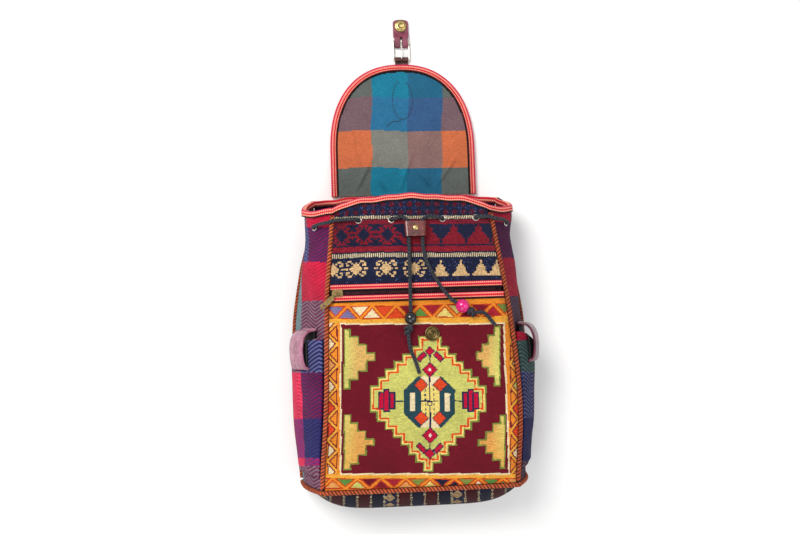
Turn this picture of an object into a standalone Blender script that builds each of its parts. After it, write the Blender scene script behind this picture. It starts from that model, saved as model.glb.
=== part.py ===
"""Kilim backpack lying on its back, with its flap open and its drawstring hanging over the front.

Metres, +Z up. X runs across the bag and +Y from the bottom towards the mouth and the flap.
Heights (h) are measured along the bag from its lowest point, and an empty carries every
object, so that the origin is on the resting plane halfway along the bag.
"""

import math

import bmesh
import bpy
from mathutils import Matrix, Vector

# Cloth, clearances and cords
GAP = 0.0003
KILIM = 0.0030
COTTON = 0.0010
LEATHER = 0.0018
PIPING_R = 0.00275
SEAM = PIPING_R + GAP
CORD_R = 0.00225

# Body: its seam at the bottom, its mouth, and its outline at a few heights as (h, size)
SEAM_H = 0.029
RIM_FRONT = 0.384
RIM_FRONT_CORNER = 0.368
RIM_BACK_CORNER = 0.388
RIM_BACK = 0.394
FRONT_HALF = ((0.029, 0.1180), (0.130, 0.1155), (0.200, 0.1120), (0.265, 0.1070), (0.353, 0.0975), (0.396, 0.0945))
FRONT_LEAN = ((0.029, 0.0020), (0.130, 0.0070), (0.200, 0.0060), (0.265, 0.0035), (0.353, 0.0015), (0.396, 0.0005))
FRONT_Z = ((0.029, 0.102), (0.100, 0.116), (0.180, 0.119), (0.265, 0.1165), (0.330, 0.1080), (0.396, 0.0970))
CROWN = ((0.029, 0.0020), (0.100, 0.0050), (0.180, 0.0065), (0.265, 0.0048), (0.330, 0.0035), (0.396, 0.0010))
CROWN_EDGE = 0.88
BACK_HALF = ((0.029, 0.1430), (0.110, 0.1500), (0.230, 0.1480), (0.300, 0.1370), (0.353, 0.1240), (0.396, 0.1220))
BACK_SEAM_Z = 0.020
SIDE_BULGE = ((0.029, 0.0060), (0.130, 0.0030), (0.235, 0.0040), (0.300, 0.0120), (0.335, 0.0160), (0.362, 0.0220), (0.396, 0.0236))
DOME = SEAM_H
PLEAT = 0.0022
PLEATS = 2.5
PLEAT_START = 0.300
BACK_FLAT = 0.28
STRAP_ROOM = 0.38
BACK_EDGE = 0.80
BOTTOM_LIFT = 0.0060
RIM_LIFT = 0.0045
LINING_INSET = KILIM + COTTON + 6 * GAP
LINING_TOP = 0.338
LINING_FLOOR = 0.036

# Grid columns that the panels share with what is sewn along them
FRONT_COLUMNS = (-1, -0.93, -0.84, -0.7, -0.56, -0.42, -0.28, -0.14, 0)
FRONT_COLUMNS += tuple(-s for s in FRONT_COLUMNS[-2::-1])
BACK_COLUMNS = (-1, -0.93, -0.86, -0.8, -0.6, -0.38, -0.28, 0, 0.28, 0.38, 0.6, 0.8, 0.86, 0.93, 1)
SIDE_COLUMNS = (0, 0.16, 0.33, 0.5, 0.67, 0.84, 1)
SIDE_ROWS = (0, 0.09, 0.18, 0.27, 0.36, 0.45, 0.54, 0.63, 0.72, 0.80, 0.87, 0.92, 1, 2)

# Rim and flap binding
BIND = 0.0010
BIND_LEG = 0.0075

# Zip across the front, with a ribbon above and below it
ZIP_H = 0.2652
ZIP_SLOT = 0.0050
RIBBON = 0.0013
RIBBON_WIDTH = 0.0082
FRONT_LOW = ZIP_H + ZIP_SLOT / 2 + RIBBON_WIDTH
TOOTH_PITCH = 0.0042
TOOTH_DEPTH = 0.0005
SLIDER_X = -0.0915
SLIDER = (0.0130, 0.0086, 0.0006)
SLIDER_N = 0.0018
PULL_LENGTH = 0.0262
PULL_WIDTH = 0.0060
PULL_THICK = 0.0011
PULL_ANGLE = math.radians(221)
PIN_R = 0.0006
EYE_R = 0.0013
PIN_N = 0.00375
EYE_HALF = 0.0011
PULL_DROP = 4.0

# Pocket pattern, in steps
MOTIF_STEPS = 6
MOTIF_HALF_X = 0.070
MOTIF_HALF_H = 0.073
BORDER = 0.016

# Drawstring, eyelets and stopper
CORD_H = 0.353
EYELETS_X = (-0.064, -0.024, 0.038, 0.0785)
SIDE_EYELET_T = 0.755
SIDE_EYELET_H = 0.349
EYELET_HOLE = 0.0029
EYELET_BARREL = 0.0034
EYELET_FLANGE = 0.0043
EYELET_LIP = 0.0005
STOPPER_X = 0.0037
STOPPER_H = 0.3395
STOPPER = (0.0264, 0.0185, 0.0112)
STOPPER_TAPER = 0.93
CHANNEL_X = 0.0083
CHANNEL_R = CORD_R + 0.0007
RIVET_R = 0.0034
BEAD_BLACK_R = 0.0076
BEAD_PINK_R = 0.0081
BEAD_BORE = CORD_R + 0.0004
BLACK_BEAD = (-0.0063, ZIP_H - 0.0314)
PINK_BEAD = (0.0553, ZIP_H - 0.0190)
BEAD_LIFT = 0.0009
STOPPER_LIFT = 0.0007
OVER_ZIP = 0.0080
TAIL_START = 0.0076
LEFT_TAIL = ((-0.0094, -0.0445, 0.0066), (-0.0090, -0.0572, 0.0036), (-0.0070, -0.0692, 0.0027))
LEFT_TAIL += ((-0.0028, -0.0802, 0.0027), (0.0000, -0.0892, 0.0027), (0.0020, -0.0962, 0.0027))
RIGHT_TAIL = ((0.0136, 0.0428, 0.0070), (0.0172, 0.0308, 0.0074), (0.0232, 0.0188, 0.0078))
RIGHT_TAIL += ((0.0315, 0.0038, 0.0082), (0.0427, -0.0107, 0.0088))
RIGHT_END = ((0.0680, -0.0267, 0.0068), (0.0730, -0.0274, 0.0042), (0.0785, -0.0267, 0.0029))
RIGHT_END += ((0.0840, -0.0297, 0.0027), (0.0888, -0.0358, 0.0027), (0.0940, -0.0426, 0.0027))

# Flap
FLAP_HALF = 0.0950
FLAP_START = RIM_BACK + 2 * GAP + BIND
FLAP_SHOULDER = FLAP_START + 0.0594
FLAP_TOP = FLAP_START + 0.1749
FLAP_ROUND = 2.3
FLAP_OUTER_Z = 0.0032
FLAP_OUTER = 0.0022
FLAP_LINING_Z = FLAP_OUTER_Z + FLAP_OUTER + GAP
FLAP_LINING = 0.0008
CHECKS_X = (-0.045, 0.003, 0.049)
CHECKS_H = tuple(FLAP_START + up for up in (0.0389, 0.0869, 0.1314))

# Buckle, its two bars, and the leather tab with the snap
BUCKLE_X = 0.0025
WIRE_R = 0.0013
BAR_Z = LEATHER + 0.00035 + WIRE_R
BAR_LOW = FLAP_TOP + 0.0085
BAR_HIGH = BAR_LOW + 0.0255
FRAME_HALF = 0.0105
FRAME_CORNER = 0.0014
LOOP_HALF = 0.0087
TAB_HALF = 0.01025
TAB_FOLD = BAR_HIGH - 0.0060
TAB_NARROW = BAR_HIGH + 0.0050
TAB_JOIN = TAB_NARROW + 0.0070
TAB_END = TAB_JOIN + 0.0170
SLOT_HALF = 0.0018
PRONG_R = 0.0008
CHAPE_LENGTH = 0.0705
CHAPE_HALF = 0.0155
STUD_H = TAB_END - 0.0090
SNAP_R = 0.0090
STUD_R = 0.0082
SNAP_SOCKET = (0.0190, ZIP_H - 0.0507)

# Side pockets, their leather loops and the shoulder straps
POCKET_LOW = 0.048
HEM_FRONT = 0.213
HEM_BACK = 0.184
POCKET_WALL = 0.0020
POCKET_STAND = 0.0115
LOOP_T = 0.62
LOOP_H = 0.200
LOOP_HALF_H = 0.0235
LOOP_REACH = 0.0225
LOOP_FOOT = 0.008
LOOP_WIDTH = 0.036
LOOP_LEATHER = 0.0025
STRAP_HALF = 0.0210
STRAP = 0.0030
STRAP_ROUTE = ((0.072, 0.372), (0.086, 0.310), (0.098, 0.240), (0.104, 0.170), (0.107, 0.110), (0.110, 0.064))

CLOTH = {
    "navy": (0.018, 0.026, 0.075),
    "indigo": (0.045, 0.060, 0.150),
    "dark red": (0.230, 0.015, 0.022),
    "crimson": (0.520, 0.012, 0.045),
    "maroon": (0.150, 0.008, 0.018),
    "orange": (0.720, 0.190, 0.040),
    "yellow": (0.740, 0.480, 0.080),
    "lime": (0.560, 0.580, 0.150),
    "cream": (0.720, 0.600, 0.360),
    "teal": (0.020, 0.180, 0.200),
    "turquoise": (0.010, 0.270, 0.400),
    "slate": (0.060, 0.130, 0.250),
    "purple": (0.110, 0.025, 0.170),
    "mauve": (0.230, 0.110, 0.200),
    "grey": (0.150, 0.160, 0.150),
    "salmon": (0.760, 0.250, 0.200),
    "black": (0.012, 0.012, 0.014),
    "terracotta": (0.620, 0.150, 0.060),
}


def clear_scene():
    for item in list(bpy.data.objects):
        bpy.data.objects.remove(item, do_unlink=True)


def new_collection(name):
    group = bpy.data.collections.new(name)
    bpy.context.scene.collection.children.link(group)
    return group


def finish_of(name, colour, roughness, metallic=0.0):
    made = bpy.data.materials.new(name)
    made.use_nodes = True
    made.diffuse_color = (*colour, 1.0)
    shader = made.node_tree.nodes["Principled BSDF"]
    shader.inputs["Base Color"].default_value = (*colour, 1.0)
    shader.inputs["Roughness"].default_value = roughness
    shader.inputs["Metallic"].default_value = metallic
    return made


def cloths(node, *names):
    return [finish_of(f"{node} {name}", CLOTH[name], 0.9) for name in names]


clear_scene()
BAG = new_collection("kilim_backpack")
CUTTERS = new_collection("cutters")
CARRIER = bpy.data.objects.new("bag_origin", None)
CARRIER.location = (0, -TAB_END / 2, 0)
BAG.objects.link(CARRIER)


def add(name, mesh, finishes, origin=(0, 0, 0)):
    """A part from a bmesh or a mesh in the bag's frame, with its own origin."""
    if isinstance(mesh, bmesh.types.BMesh):
        data = bpy.data.meshes.new(name)
        mesh.to_mesh(data)
        mesh.free()
    else:
        data = mesh
    data.transform(Matrix.Translation(-Vector(origin)))
    part = bpy.data.objects.new(name, data)
    part.location = origin
    part.parent = CARRIER
    for finish in finishes:
        data.materials.append(finish)
    BAG.objects.link(part)
    return part


def smooth(part, angle=40):
    part.data.shade_smooth()
    part.data.set_sharp_from_angle(angle=math.radians(angle))
    return part


def solidify(part, thickness):
    wall = part.modifiers.new("Thickness", "SOLIDIFY")
    wall.thickness = thickness
    wall.offset = -1
    wall.use_even_offset = True
    return part


def boolean(part, cutter, operation="DIFFERENCE"):
    cutter.hide_render = True
    cutter.display_type = "WIRE"
    cutter.parent = CARRIER
    CUTTERS.objects.link(cutter)
    cut = part.modifiers.new("Cut", "BOOLEAN")
    cut.operation = operation
    cut.object = cutter
    return part


def ease(t):
    t = min(1.0, max(0.0, t))
    return t * t * (3 - 2 * t)


def blend(a, b, t):
    return a + (b - a) * t


def spread(low, high, count):
    return [blend(low, high, i / (count - 1)) for i in range(count)]


def catmull(a, b, c, d, t):
    """The point at share t from b to c, on the smooth curve through a, b, c and d."""
    return 0.5 * (2 * b + (c - a) * t + (2 * a - 5 * b + 4 * c - d) * t**2 + (3 * b - a - 3 * c + d) * t**3)


def at_height(stations, h):
    """The size at height h, on a smooth curve through (height, size) stations."""
    last = len(stations) - 2
    i = max(0, min(last, sum(h >= s[0] for s in stations) - 1))
    t = (h - stations[i][0]) / (stations[i + 1][0] - stations[i][0])
    sizes = [stations[max(0, min(last + 1, i + k))][1] for k in (-1, 0, 1, 2)]
    return catmull(*sizes, min(1.0, max(0.0, t)))


def front_corner(side, h):
    return Vector((side * at_height(FRONT_HALF, h) + at_height(FRONT_LEAN, h), h, at_height(FRONT_Z, h)))


def front_at(s, h):
    """A point of the front's outer face: s runs from -1 at the left seam to 1 at the right."""
    x = s * at_height(FRONT_HALF, h) + at_height(FRONT_LEAN, h)
    crown = at_height(CROWN, h) * (1 - ease((abs(s) - CROWN_EDGE) / (1 - CROWN_EDGE)))
    pleat = PLEAT * ease((h - PLEAT_START) / 0.09) * math.cos(PLEATS * math.tau * s / 2) * (1 - s**4)
    return Vector((x, h, at_height(FRONT_Z, h) + crown + pleat))


def back_at(s, h):
    x = s * at_height(BACK_HALF, h)
    lift = BOTTOM_LIFT * (1 - ease((h - SEAM_H) / 0.035)) + RIM_LIFT * ease((h - 0.360) / 0.020)
    room = (STRAP + GAP) * ease((abs(s) - BACK_FLAT) / (STRAP_ROOM - BACK_FLAT)) * (1 - ease((h - 0.376) / 0.015))
    low = max(lift, room)
    edge = max(0.0, abs(s) - BACK_EDGE) / (1 - BACK_EDGE)
    return Vector((x, h, blend(low, BACK_SEAM_Z, edge**2)))


def side_at(t, h, side):
    """A point of a side's outer face: t runs from 0 at the back seam to 1 at the front seam."""
    back = Vector((side * at_height(BACK_HALF, h), h, BACK_SEAM_Z))
    point = back.lerp(front_corner(side, h), t)
    point.x += side * at_height(SIDE_BULGE, h) * math.sin(math.pi * t)
    return point


def side_normal(t, h, side):
    along = side_at(t + 0.02, h, side) - side_at(t - 0.02, h, side)
    up = side_at(t, h + 0.002, side) - side_at(t, h - 0.002, side)
    return (up.cross(along) * side).normalized()


def front_normal(s, h):
    across = front_at(s + 0.01, h) - front_at(s - 0.01, h)
    up = front_at(s, h + 0.002) - front_at(s, h - 0.002)
    return across.cross(up).normalized()


def front_in(s, h):
    """The same as front_at, with the outer columns at the edges of the seams."""
    half = at_height(FRONT_HALF, h)
    return front_at(s * (half - SEAM) / half, h)


def back_in(s, h):
    half = at_height(BACK_HALF, h)
    return back_at(s * (half - SEAM) / half, h)


def side_in(t, h, side):
    length = (side_at(1, h, side) - side_at(0, h, side)).length
    return side_at(blend(SEAM / length, 1 - SEAM / length, t), h, side)


def front_share(x, h):
    return (x - at_height(FRONT_LEAN, h)) / at_height(FRONT_HALF, h)


def over_front(x, h, out):
    """The point that stands out from the front's face at x and h."""
    s = front_share(x, h)
    return front_at(s, h) + front_normal(s, h) * out


def over_side(t, h, side, out):
    return side_at(t, h, side) + side_normal(t, h, side) * out


def rim_front(s):
    return blend(RIM_FRONT, RIM_FRONT_CORNER, abs(s) ** 3)


def rim_side(t):
    return RIM_FRONT_CORNER + (RIM_BACK_CORNER - RIM_FRONT_CORNER) * (1 - t) ** 2.5


def rim_back(s):
    return blend(RIM_BACK, RIM_BACK_CORNER, abs(s) ** 3)


def panel(name, columns, rows, place, thickness, finishes, paint=None, flip=False, origin=(0, 0, 0), keep=None):
    """A sheet over a grid of columns and rows, bent by place(column, row) and given its thickness."""
    grid = bmesh.new()
    across, up = len(columns) - 1, len(rows) - 1
    bmesh.ops.create_grid(grid, x_segments=across, y_segments=up, size=0.5)
    spots = {v: (round((v.co.x + 0.5) * across), round((v.co.y + 0.5) * up)) for v in grid.verts}
    dropped = []
    for face in grid.faces:
        i = min(spots[v][0] for v in face.verts)
        j = min(spots[v][1] for v in face.verts)
        middle = ((columns[i] + columns[i + 1]) / 2, (rows[j] + rows[j + 1]) / 2)
        if paint:
            face.material_index = paint(*middle)
        if keep and not keep(*middle):
            dropped.append(face)
    for v, (i, j) in spots.items():
        v.co = place(columns[i], rows[j])
    bmesh.ops.delete(grid, geom=dropped, context="FACES")
    if flip:
        bmesh.ops.reverse_faces(grid, faces=grid.faces)
    part = add(name, grid, finishes, origin)
    solidify(part, thickness)
    return smooth(part)


def tube(name, points, radius, finishes, resolution=2, closed=False, twist=0.0, origin=(0, 0, 0)):
    """A round bar along the points; with a twist its facets wind round it like a rope's strands."""
    data = bpy.data.curves.new(name, "CURVE")
    data.dimensions = "3D"
    data.bevel_depth = radius
    data.bevel_resolution = resolution
    data.use_fill_caps = not closed
    line = data.splines.new("POLY")
    line.points.add(len(points) - 1)
    line.use_cyclic_u = closed
    for i, (spot, point) in enumerate(zip(line.points, points, strict=True)):
        spot.co = (*(Vector(point) - Vector(origin)), 1)
        spot.tilt = twist * i
    part = bpy.data.objects.new(name, data)
    part.location = origin
    part.parent = CARRIER
    for finish in finishes:
        data.materials.append(finish)
    BAG.objects.link(part)
    return part


def as_mesh(part):
    """The same part as a mesh with its caps welded, for a Boolean."""
    bpy.context.view_layer.update()
    seen = part.evaluated_get(bpy.context.evaluated_depsgraph_get())
    data = bpy.data.meshes.new_from_object(seen)
    work = bmesh.new()
    work.from_mesh(data)
    bmesh.ops.remove_doubles(work, verts=work.verts, dist=0.00001)
    work.to_mesh(data)
    work.free()
    name = part.name
    welded = bpy.data.objects.new(name, data)
    welded.location = part.location
    welded.parent = CARRIER
    bpy.data.objects.remove(part, do_unlink=True)
    welded.name = name
    BAG.objects.link(welded)
    return welded


def turned(name, profile, steps, finishes, origin, axis):
    """A closed (radius, height) profile turned round the axis through the origin."""
    mesh = bmesh.new()
    first = [mesh.verts.new((r, 0, z)) for r, z in profile]
    begin = 1 if profile[0][0] == profile[-1][0] == 0 else 0
    edges = [mesh.edges.new((first[i - 1], first[i])) for i in range(begin, len(first))]
    bmesh.ops.spin(
        mesh, geom=first + edges, cent=(0, 0, 0), axis=(0, 0, 1), angle=math.tau, steps=steps, use_merge=True
    )
    bmesh.ops.remove_doubles(mesh, verts=mesh.verts, dist=0.00001)
    bmesh.ops.recalc_face_normals(mesh, faces=mesh.faces)
    mesh.transform(Vector(axis).to_track_quat("Z", "Y").to_matrix().to_4x4())
    data = bpy.data.meshes.new(name)
    mesh.to_mesh(data)
    mesh.free()
    data.transform(Matrix.Translation(Vector(origin)))
    return smooth(add(name, data, finishes, origin))


def dome_profile(radius, height, steps, base=0.0):
    """The (radius, height) outline of a low dome on a flat base, from its edge to its middle."""
    arc = [(radius * math.cos(a), base + height * math.sin(a)) for a in spread(0, math.pi / 2, steps)]
    return [*arc[:-1], (0.0, base + height)]


def mouth_loop(height):
    """Points of the body's outline, clockwise from the front's left corner, with height(panel, share)."""
    points = [front_corner(-1, height("front", -1))]
    points += [front_in(s, height("front", s)) for s in FRONT_COLUMNS]
    points.append(front_corner(1, height("front", 1)))
    points += [side_in(t, height("side", t), 1) for t in SIDE_COLUMNS[::-1]]
    points.append(side_at(0, height("side", 0), 1))
    points += [back_in(s, height("back", s)) for s in BACK_COLUMNS[::-1]]
    points.append(side_at(0, height("side", 0), -1))
    points += [side_in(t, height("side", t), -1) for t in SIDE_COLUMNS]
    return points


CORNERS = [0, len(FRONT_COLUMNS) + 1, len(FRONT_COLUMNS) + len(SIDE_COLUMNS) + 2]
CORNERS.append(CORNERS[-1] + len(BACK_COLUMNS) + 1)


def level(h):
    return lambda place, share: h


def below_rim(drop):
    rims = {"front": rim_front, "side": rim_side, "back": rim_back}
    return lambda place, share: rims[place](share) - drop


def offset(points, out):
    """The outline moved outwards in its own plane, with mitred corners."""
    moved = []
    for i, p in enumerate(points):
        q, r = points[i - 1], points[(i + 1) % len(points)]
        a = Vector((q.z - p.z, p.x - q.x)).normalized()
        b = Vector((p.z - r.z, r.x - p.x)).normalized()
        n = (a + b).normalized()
        n *= out / max(0.5, n.dot(a))
        moved.append(Vector((p.x + n.x, p.y, p.z + n.y)))
    if out < 0:
        for i in CORNERS:
            for step in (-1, 1):
                beside = moved[i].lerp(moved[(i + 2 * step) % len(moved)], 0.15)
                beside.y = moved[i + step].y
                moved[i + step] = beside
    return moved


def loft(rings, closed):
    """A skin over rings of points with the same count; closed joins the last ring to the first."""
    skin = bmesh.new()
    loops = [[skin.verts.new(p) for p in ring] for ring in rings]
    pairs = list(zip(loops, loops[1:])) + ([(loops[-1], loops[0])] if closed else [])
    for low, high in pairs:
        for i in range(len(low)):
            skin.faces.new((low[i - 1], low[i], high[i], high[i - 1]))
    return skin


def smooth_route(points, per_span):
    """Points on a smooth curve through a route, with the same number in each span."""
    made = []
    for i in range(len(points) - 1):
        a, b, c, d = (Vector(points[max(0, min(len(points) - 1, i + k))]) for k in (-1, 0, 1, 2))
        made += [catmull(a, b, c, d, j / per_span) for j in range(per_span)]
    return [*made, Vector(points[-1])]


# Body


def pocket_paint(s, h):
    """0 field, 1 border, 2 medallion, 3 its centre, 4 its outline and the corner stars."""
    half = at_height(FRONT_HALF, h)
    x = s * half
    top, low = ZIP_H - ZIP_SLOT / 2 - RIBBON_WIDTH, SEAM_H + SEAM
    if half - abs(x) < BORDER or top - h < BORDER or h - low < BORDER:
        return 1
    middle = (top + low) / 2 - 0.004
    across = abs(x) / MOTIF_HALF_X * MOTIF_STEPS
    up = abs(h - middle) / MOTIF_HALF_H * MOTIF_STEPS
    rings = math.floor(across) + math.floor(up)
    if rings < 2 and up < 2:
        return 3
    if rings < MOTIF_STEPS - 1:
        return 2
    if rings == MOTIF_STEPS - 1:
        return 4
    edge = (half - BORDER - abs(x)) / (MOTIF_HALF_X / MOTIF_STEPS)
    star = abs(up - 4.5) + edge * 0.9
    return 4 if star < 2.1 else 0


def make_pocket_panel():
    top, low = ZIP_H - ZIP_SLOT / 2 - RIBBON_WIDTH, SEAM_H + SEAM
    step = 1 / (MOTIF_STEPS + 2.6)
    reach = MOTIF_STEPS + 1
    columns = [-1, -0.94, *(i * step for i in range(-reach, reach + 1)), 0.94, 1]
    rows = [low, low + BORDER / 2, *spread(low + BORDER, top - BORDER, 2 * MOTIF_STEPS + 2), top - BORDER / 2, top]

    finishes = cloths("pocket_panel", "maroon", "orange", "lime", "teal", "cream")
    panel("pocket_panel", columns, rows, front_in, KILIM, finishes, pocket_paint)

    def behind(s, h):
        return front_in(s, h) - front_normal(s, h) * (KILIM + 3 * GAP)

    finishes = cloths("pocket_lining", "grey")
    inner = [-reach * step, -reach * step / 2, 0, reach * step / 2, reach * step]
    panel("pocket_lining", inner, rows[1::2], behind, COTTON, finishes)


def over_front_share(s, h, out):
    return front_at(s, h) + front_normal(s, h) * out


FRONT_BANDS = ((0.08, 0), (0.31, 1), (0.39, 2), (0.47, 3), (0.74, 4), (0.82, 3), (0.88, 2), (math.inf, 0))


def front_paint(s, h):
    """0 navy ground, 1 cream motifs, 2 dotted line, 3 red stripe, 4 red motifs."""
    share = (h - FRONT_LOW) / (CORD_H - FRONT_LOW)
    band = next(kind for top, kind in FRONT_BANDS if share < top)
    motif = math.floor((s + 0.98) / 0.14) % 2 == 0
    if band in (1, 4) and not motif:
        return 0
    return band


def make_front_panel():
    shares = [0, *(top for top, _ in FRONT_BANDS[:-1]), 1]
    shares[2:2] = [(shares[1] + shares[2]) / 2]
    shares[6:6] = [(shares[5] + shares[6]) / 2]

    def place(s, h):
        return front_in(s, h if h < 1 else rim_front(s) - BIND_LEG * (2 - h))

    rows = [*(blend(FRONT_LOW, CORD_H, share) for share in shares), 1, 2]
    columns = FRONT_COLUMNS
    finishes = cloths("front_panel", "navy", "cream", "indigo", "dark red", "crimson")
    front = panel("front_panel", columns, rows, place, KILIM, finishes, front_paint)
    for x in EYELETS_X:
        s = front_share(x, CORD_H)
        pierce(front, front_at(s, CORD_H), front_normal(s, CORD_H))


def side_spot(t, v, side):
    """A point of a side's grid: v runs from 0 at the bottom seam to 1 under the binding, and is 2 at the rim."""
    top = rim_side(t) - BIND_LEG
    return side_in(t, blend(SEAM_H + SEAM, top, v) if v <= 1 else top + BIND_LEG, side)


def side_eyelet(side):
    """Where a side's eyelet sits, on the flat between four of the panel's points."""
    i = sum(SIDE_EYELET_T > t for t in SIDE_COLUMNS)
    corners = [side_spot(t, v, side) for v in SIDE_ROWS[-3:-1] for t in SIDE_COLUMNS[i - 1 : i + 1]]
    across = corners[1] - corners[0] + corners[3] - corners[2]
    up = corners[2] - corners[0] + corners[3] - corners[1]
    return sum(corners, Vector()) / 4, (up.cross(across) * side).normalized()


def pierce(part, point, normal):
    """The hole for an eyelet's barrel."""
    drill = bmesh.new()
    radius = EYELET_BARREL + GAP
    bmesh.ops.create_cone(drill, cap_ends=True, segments=10, radius1=radius, radius2=radius, depth=4 * KILIM)
    drill.transform(Matrix.Translation(point) @ normal.to_track_quat("Z", "Y").to_matrix().to_4x4())
    data = bpy.data.meshes.new("eyelet_hole")
    drill.to_mesh(data)
    drill.free()
    boolean(part, bpy.data.objects.new("eyelet_hole", data))


def side_paint(t, h):
    """The plaid's fields: 0 crimson, 1 navy, 2 purple, 3 mauve, 4 teal."""
    across = 0 if t > 0.62 else 1
    bands = ((0.080, (3, 4)), (0.115, (1, 0)), (0.160, (1, 3)), (0.205, (2, 0)), (0.250, (3, 4)), (0.295, (0, 0)))
    for top, kinds in bands:
        if h < top:
            return kinds[across]
    return (2, 1)[across] if h < 0.345 else 3


def make_side(side, name):

    def place(t, v):
        return side_spot(t, v, side)

    def paint(t, v):
        return side_paint(t, blend(SEAM_H + SEAM, RIM_FRONT_CORNER, v))

    finishes = cloths(name, "crimson", "navy", "purple", "mauve", "teal")
    part = panel(name, SIDE_COLUMNS, SIDE_ROWS, place, KILIM, finishes, paint, side > 0)
    pierce(part, *side_eyelet(side))


def make_back():
    low = SEAM_H + SEAM

    def place(s, v):
        top = rim_back(s) - BIND_LEG
        return back_in(s, blend(low, top, v) if v <= 1 else top + BIND_LEG)

    rows = [0, 0.04, 0.10, 0.3, 0.5, 0.7, 0.92, 1, 2]
    panel("back_panel", BACK_COLUMNS, rows, place, KILIM, cloths("back_panel", "navy"), None, True)


def make_bottom():
    """A cushion of kilim under the seam that runs round the body's lower end."""

    def place(s, t):
        edge = SEAM + 2 * GAP
        low = back_at(s, SEAM_H).z + edge
        high = front_at(s, SEAM_H).z - edge
        x = s * (blend(at_height(BACK_HALF, SEAM_H), at_height(FRONT_HALF, SEAM_H), t) - edge)
        x += s * at_height(SIDE_BULGE, SEAM_H) * math.sin(math.pi * t) + at_height(FRONT_LEAN, SEAM_H) * t
        drop = DOME * (1 - abs(s) ** 6) * math.sin(math.pi * t) ** 0.75
        return Vector((x, SEAM_H - drop, blend(low, high, t)))

    columns = [-1, -0.96, -0.88, -0.74, -0.5, -0.25, 0, 0.25, 0.5, 0.74, 0.88, 0.96, 1]
    rows = [0, 0.05, 0.2, 0.5, 0.8, 0.95, 1]
    finishes = cloths("bottom_panel", "navy", "dark red")
    panel("bottom_panel", columns, rows, place, KILIM, finishes, lambda s, t: round(t * 4) % 2)


def make_lining():
    """A cotton bag inside the body, with its own floor."""

    def ring(h, inset):
        whole = offset(mouth_loop(level(h)), -inset)
        beside = {(i + step) % len(whole) for i in CORNERS for step in (-1, 1)}
        return [p for i, p in enumerate(whole) if i not in beside]

    heights = [LINING_FLOOR, 0.110, 0.200, 0.260, 0.305, LINING_TOP]
    outer = [ring(h, LINING_INSET) for h in heights]
    inner = [ring(max(h, LINING_FLOOR + COTTON), LINING_INSET + COTTON) for h in heights]
    skin = bmesh.new()
    loops = [[skin.verts.new(p) for p in ring_points] for ring_points in (*outer, *inner)]
    count = len(heights)
    for k in (*range(count - 1), *range(count, 2 * count - 1)):
        for i in range(len(loops[0])):
            a, b, c, d = loops[k][i - 1], loops[k][i], loops[k + 1][i], loops[k + 1][i - 1]
            skin.faces.new((a, b, c))
            skin.faces.new((a, c, d))
    for i in range(len(loops[0])):
        skin.faces.new((loops[count - 1][i - 1], loops[count - 1][i], loops[-1][i], loops[-1][i - 1]))
    skin.faces.new(loops[0])
    skin.faces.new(loops[count])
    bmesh.ops.recalc_face_normals(skin, faces=skin.faces)
    smooth(add("body_lining", skin, cloths("body_lining", "grey")))


def make_rim():
    """A ribbon folded over the mouth's edge, with a leg inside and outside."""
    inside = -KILIM - 4 * GAP
    section = (
        (1.5 * GAP, BIND_LEG),
        (1.5 * GAP + BIND, BIND_LEG),
        (1.5 * GAP + BIND, -GAP - BIND),
        (inside - BIND, -GAP - BIND),
        (inside - BIND, BIND_LEG),
        (inside, BIND_LEG),
        (inside, -GAP),
        (1.5 * GAP, -GAP),
    )
    rings = [offset(mouth_loop(below_rim(drop)), out) for out, drop in section]
    skin = loft(rings, True)
    bmesh.ops.recalc_face_normals(skin, faces=skin.faces)
    smooth(add("rim_binding", skin, cloths("rim_binding", "salmon")))


def make_piping():
    """Twisted rope in each of the body's outer seams."""
    start = SEAM_H + 2 * PIPING_R + GAP
    twist = math.radians(30)
    for side, word in ((-1, "left"), (1, "right")):
        name = f"piping_front_{word}"
        heights = spread(start, RIM_FRONT_CORNER - BIND_LEG - GAP - PIPING_R / 2, 26)
        points = [front_corner(side, h) for h in heights]
        tube(name, points, PIPING_R, cloths(name, "terracotta"), 1, False, twist)
        name = f"piping_back_{word}"
        heights = spread(start, RIM_BACK_CORNER - BIND_LEG - GAP - PIPING_R / 2, 26)
        points = [side_at(0, h, side) for h in heights]
        tube(name, points, PIPING_R, cloths(name, "terracotta"), 1, False, twist)
    ring = mouth_loop(level(SEAM_H))
    finishes = cloths("piping_bottom", "terracotta")
    tube("piping_bottom", ring, PIPING_R, finishes, 1, True, twist)


# Zip and its ribbons


def zip_strip(name, low, high, out, thickness, finishes, columns):
    half = at_height(FRONT_HALF, high) - SEAM - 3 * GAP
    lean = at_height(FRONT_LEAN, high)

    def place(c, h):
        return over_front(lean + c * half, h, out)

    return panel(name, columns, [low, high], place, thickness, finishes)


def make_zip():
    columns = [-1, -0.96, -0.92, -0.88, -0.84, 0, 0.84, 0.88, 0.92, 0.96, 1]
    reach = ZIP_SLOT / 2 + RIBBON_WIDTH
    zip_strip(
        "zip_tape", ZIP_H - reach + GAP, ZIP_H + reach - GAP, -0.0005, COTTON, cloths("zip_tape", "black"), columns
    )
    for name, low in (("ribbon_lower", ZIP_H - reach), ("ribbon_upper", ZIP_H + ZIP_SLOT / 2)):
        finishes = cloths(name, "salmon")
        zip_strip(name, low + GAP, low + RIBBON_WIDTH - GAP, RIBBON, RIBBON + GAP / 2, finishes, columns)
    make_teeth()
    make_slider()


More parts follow.
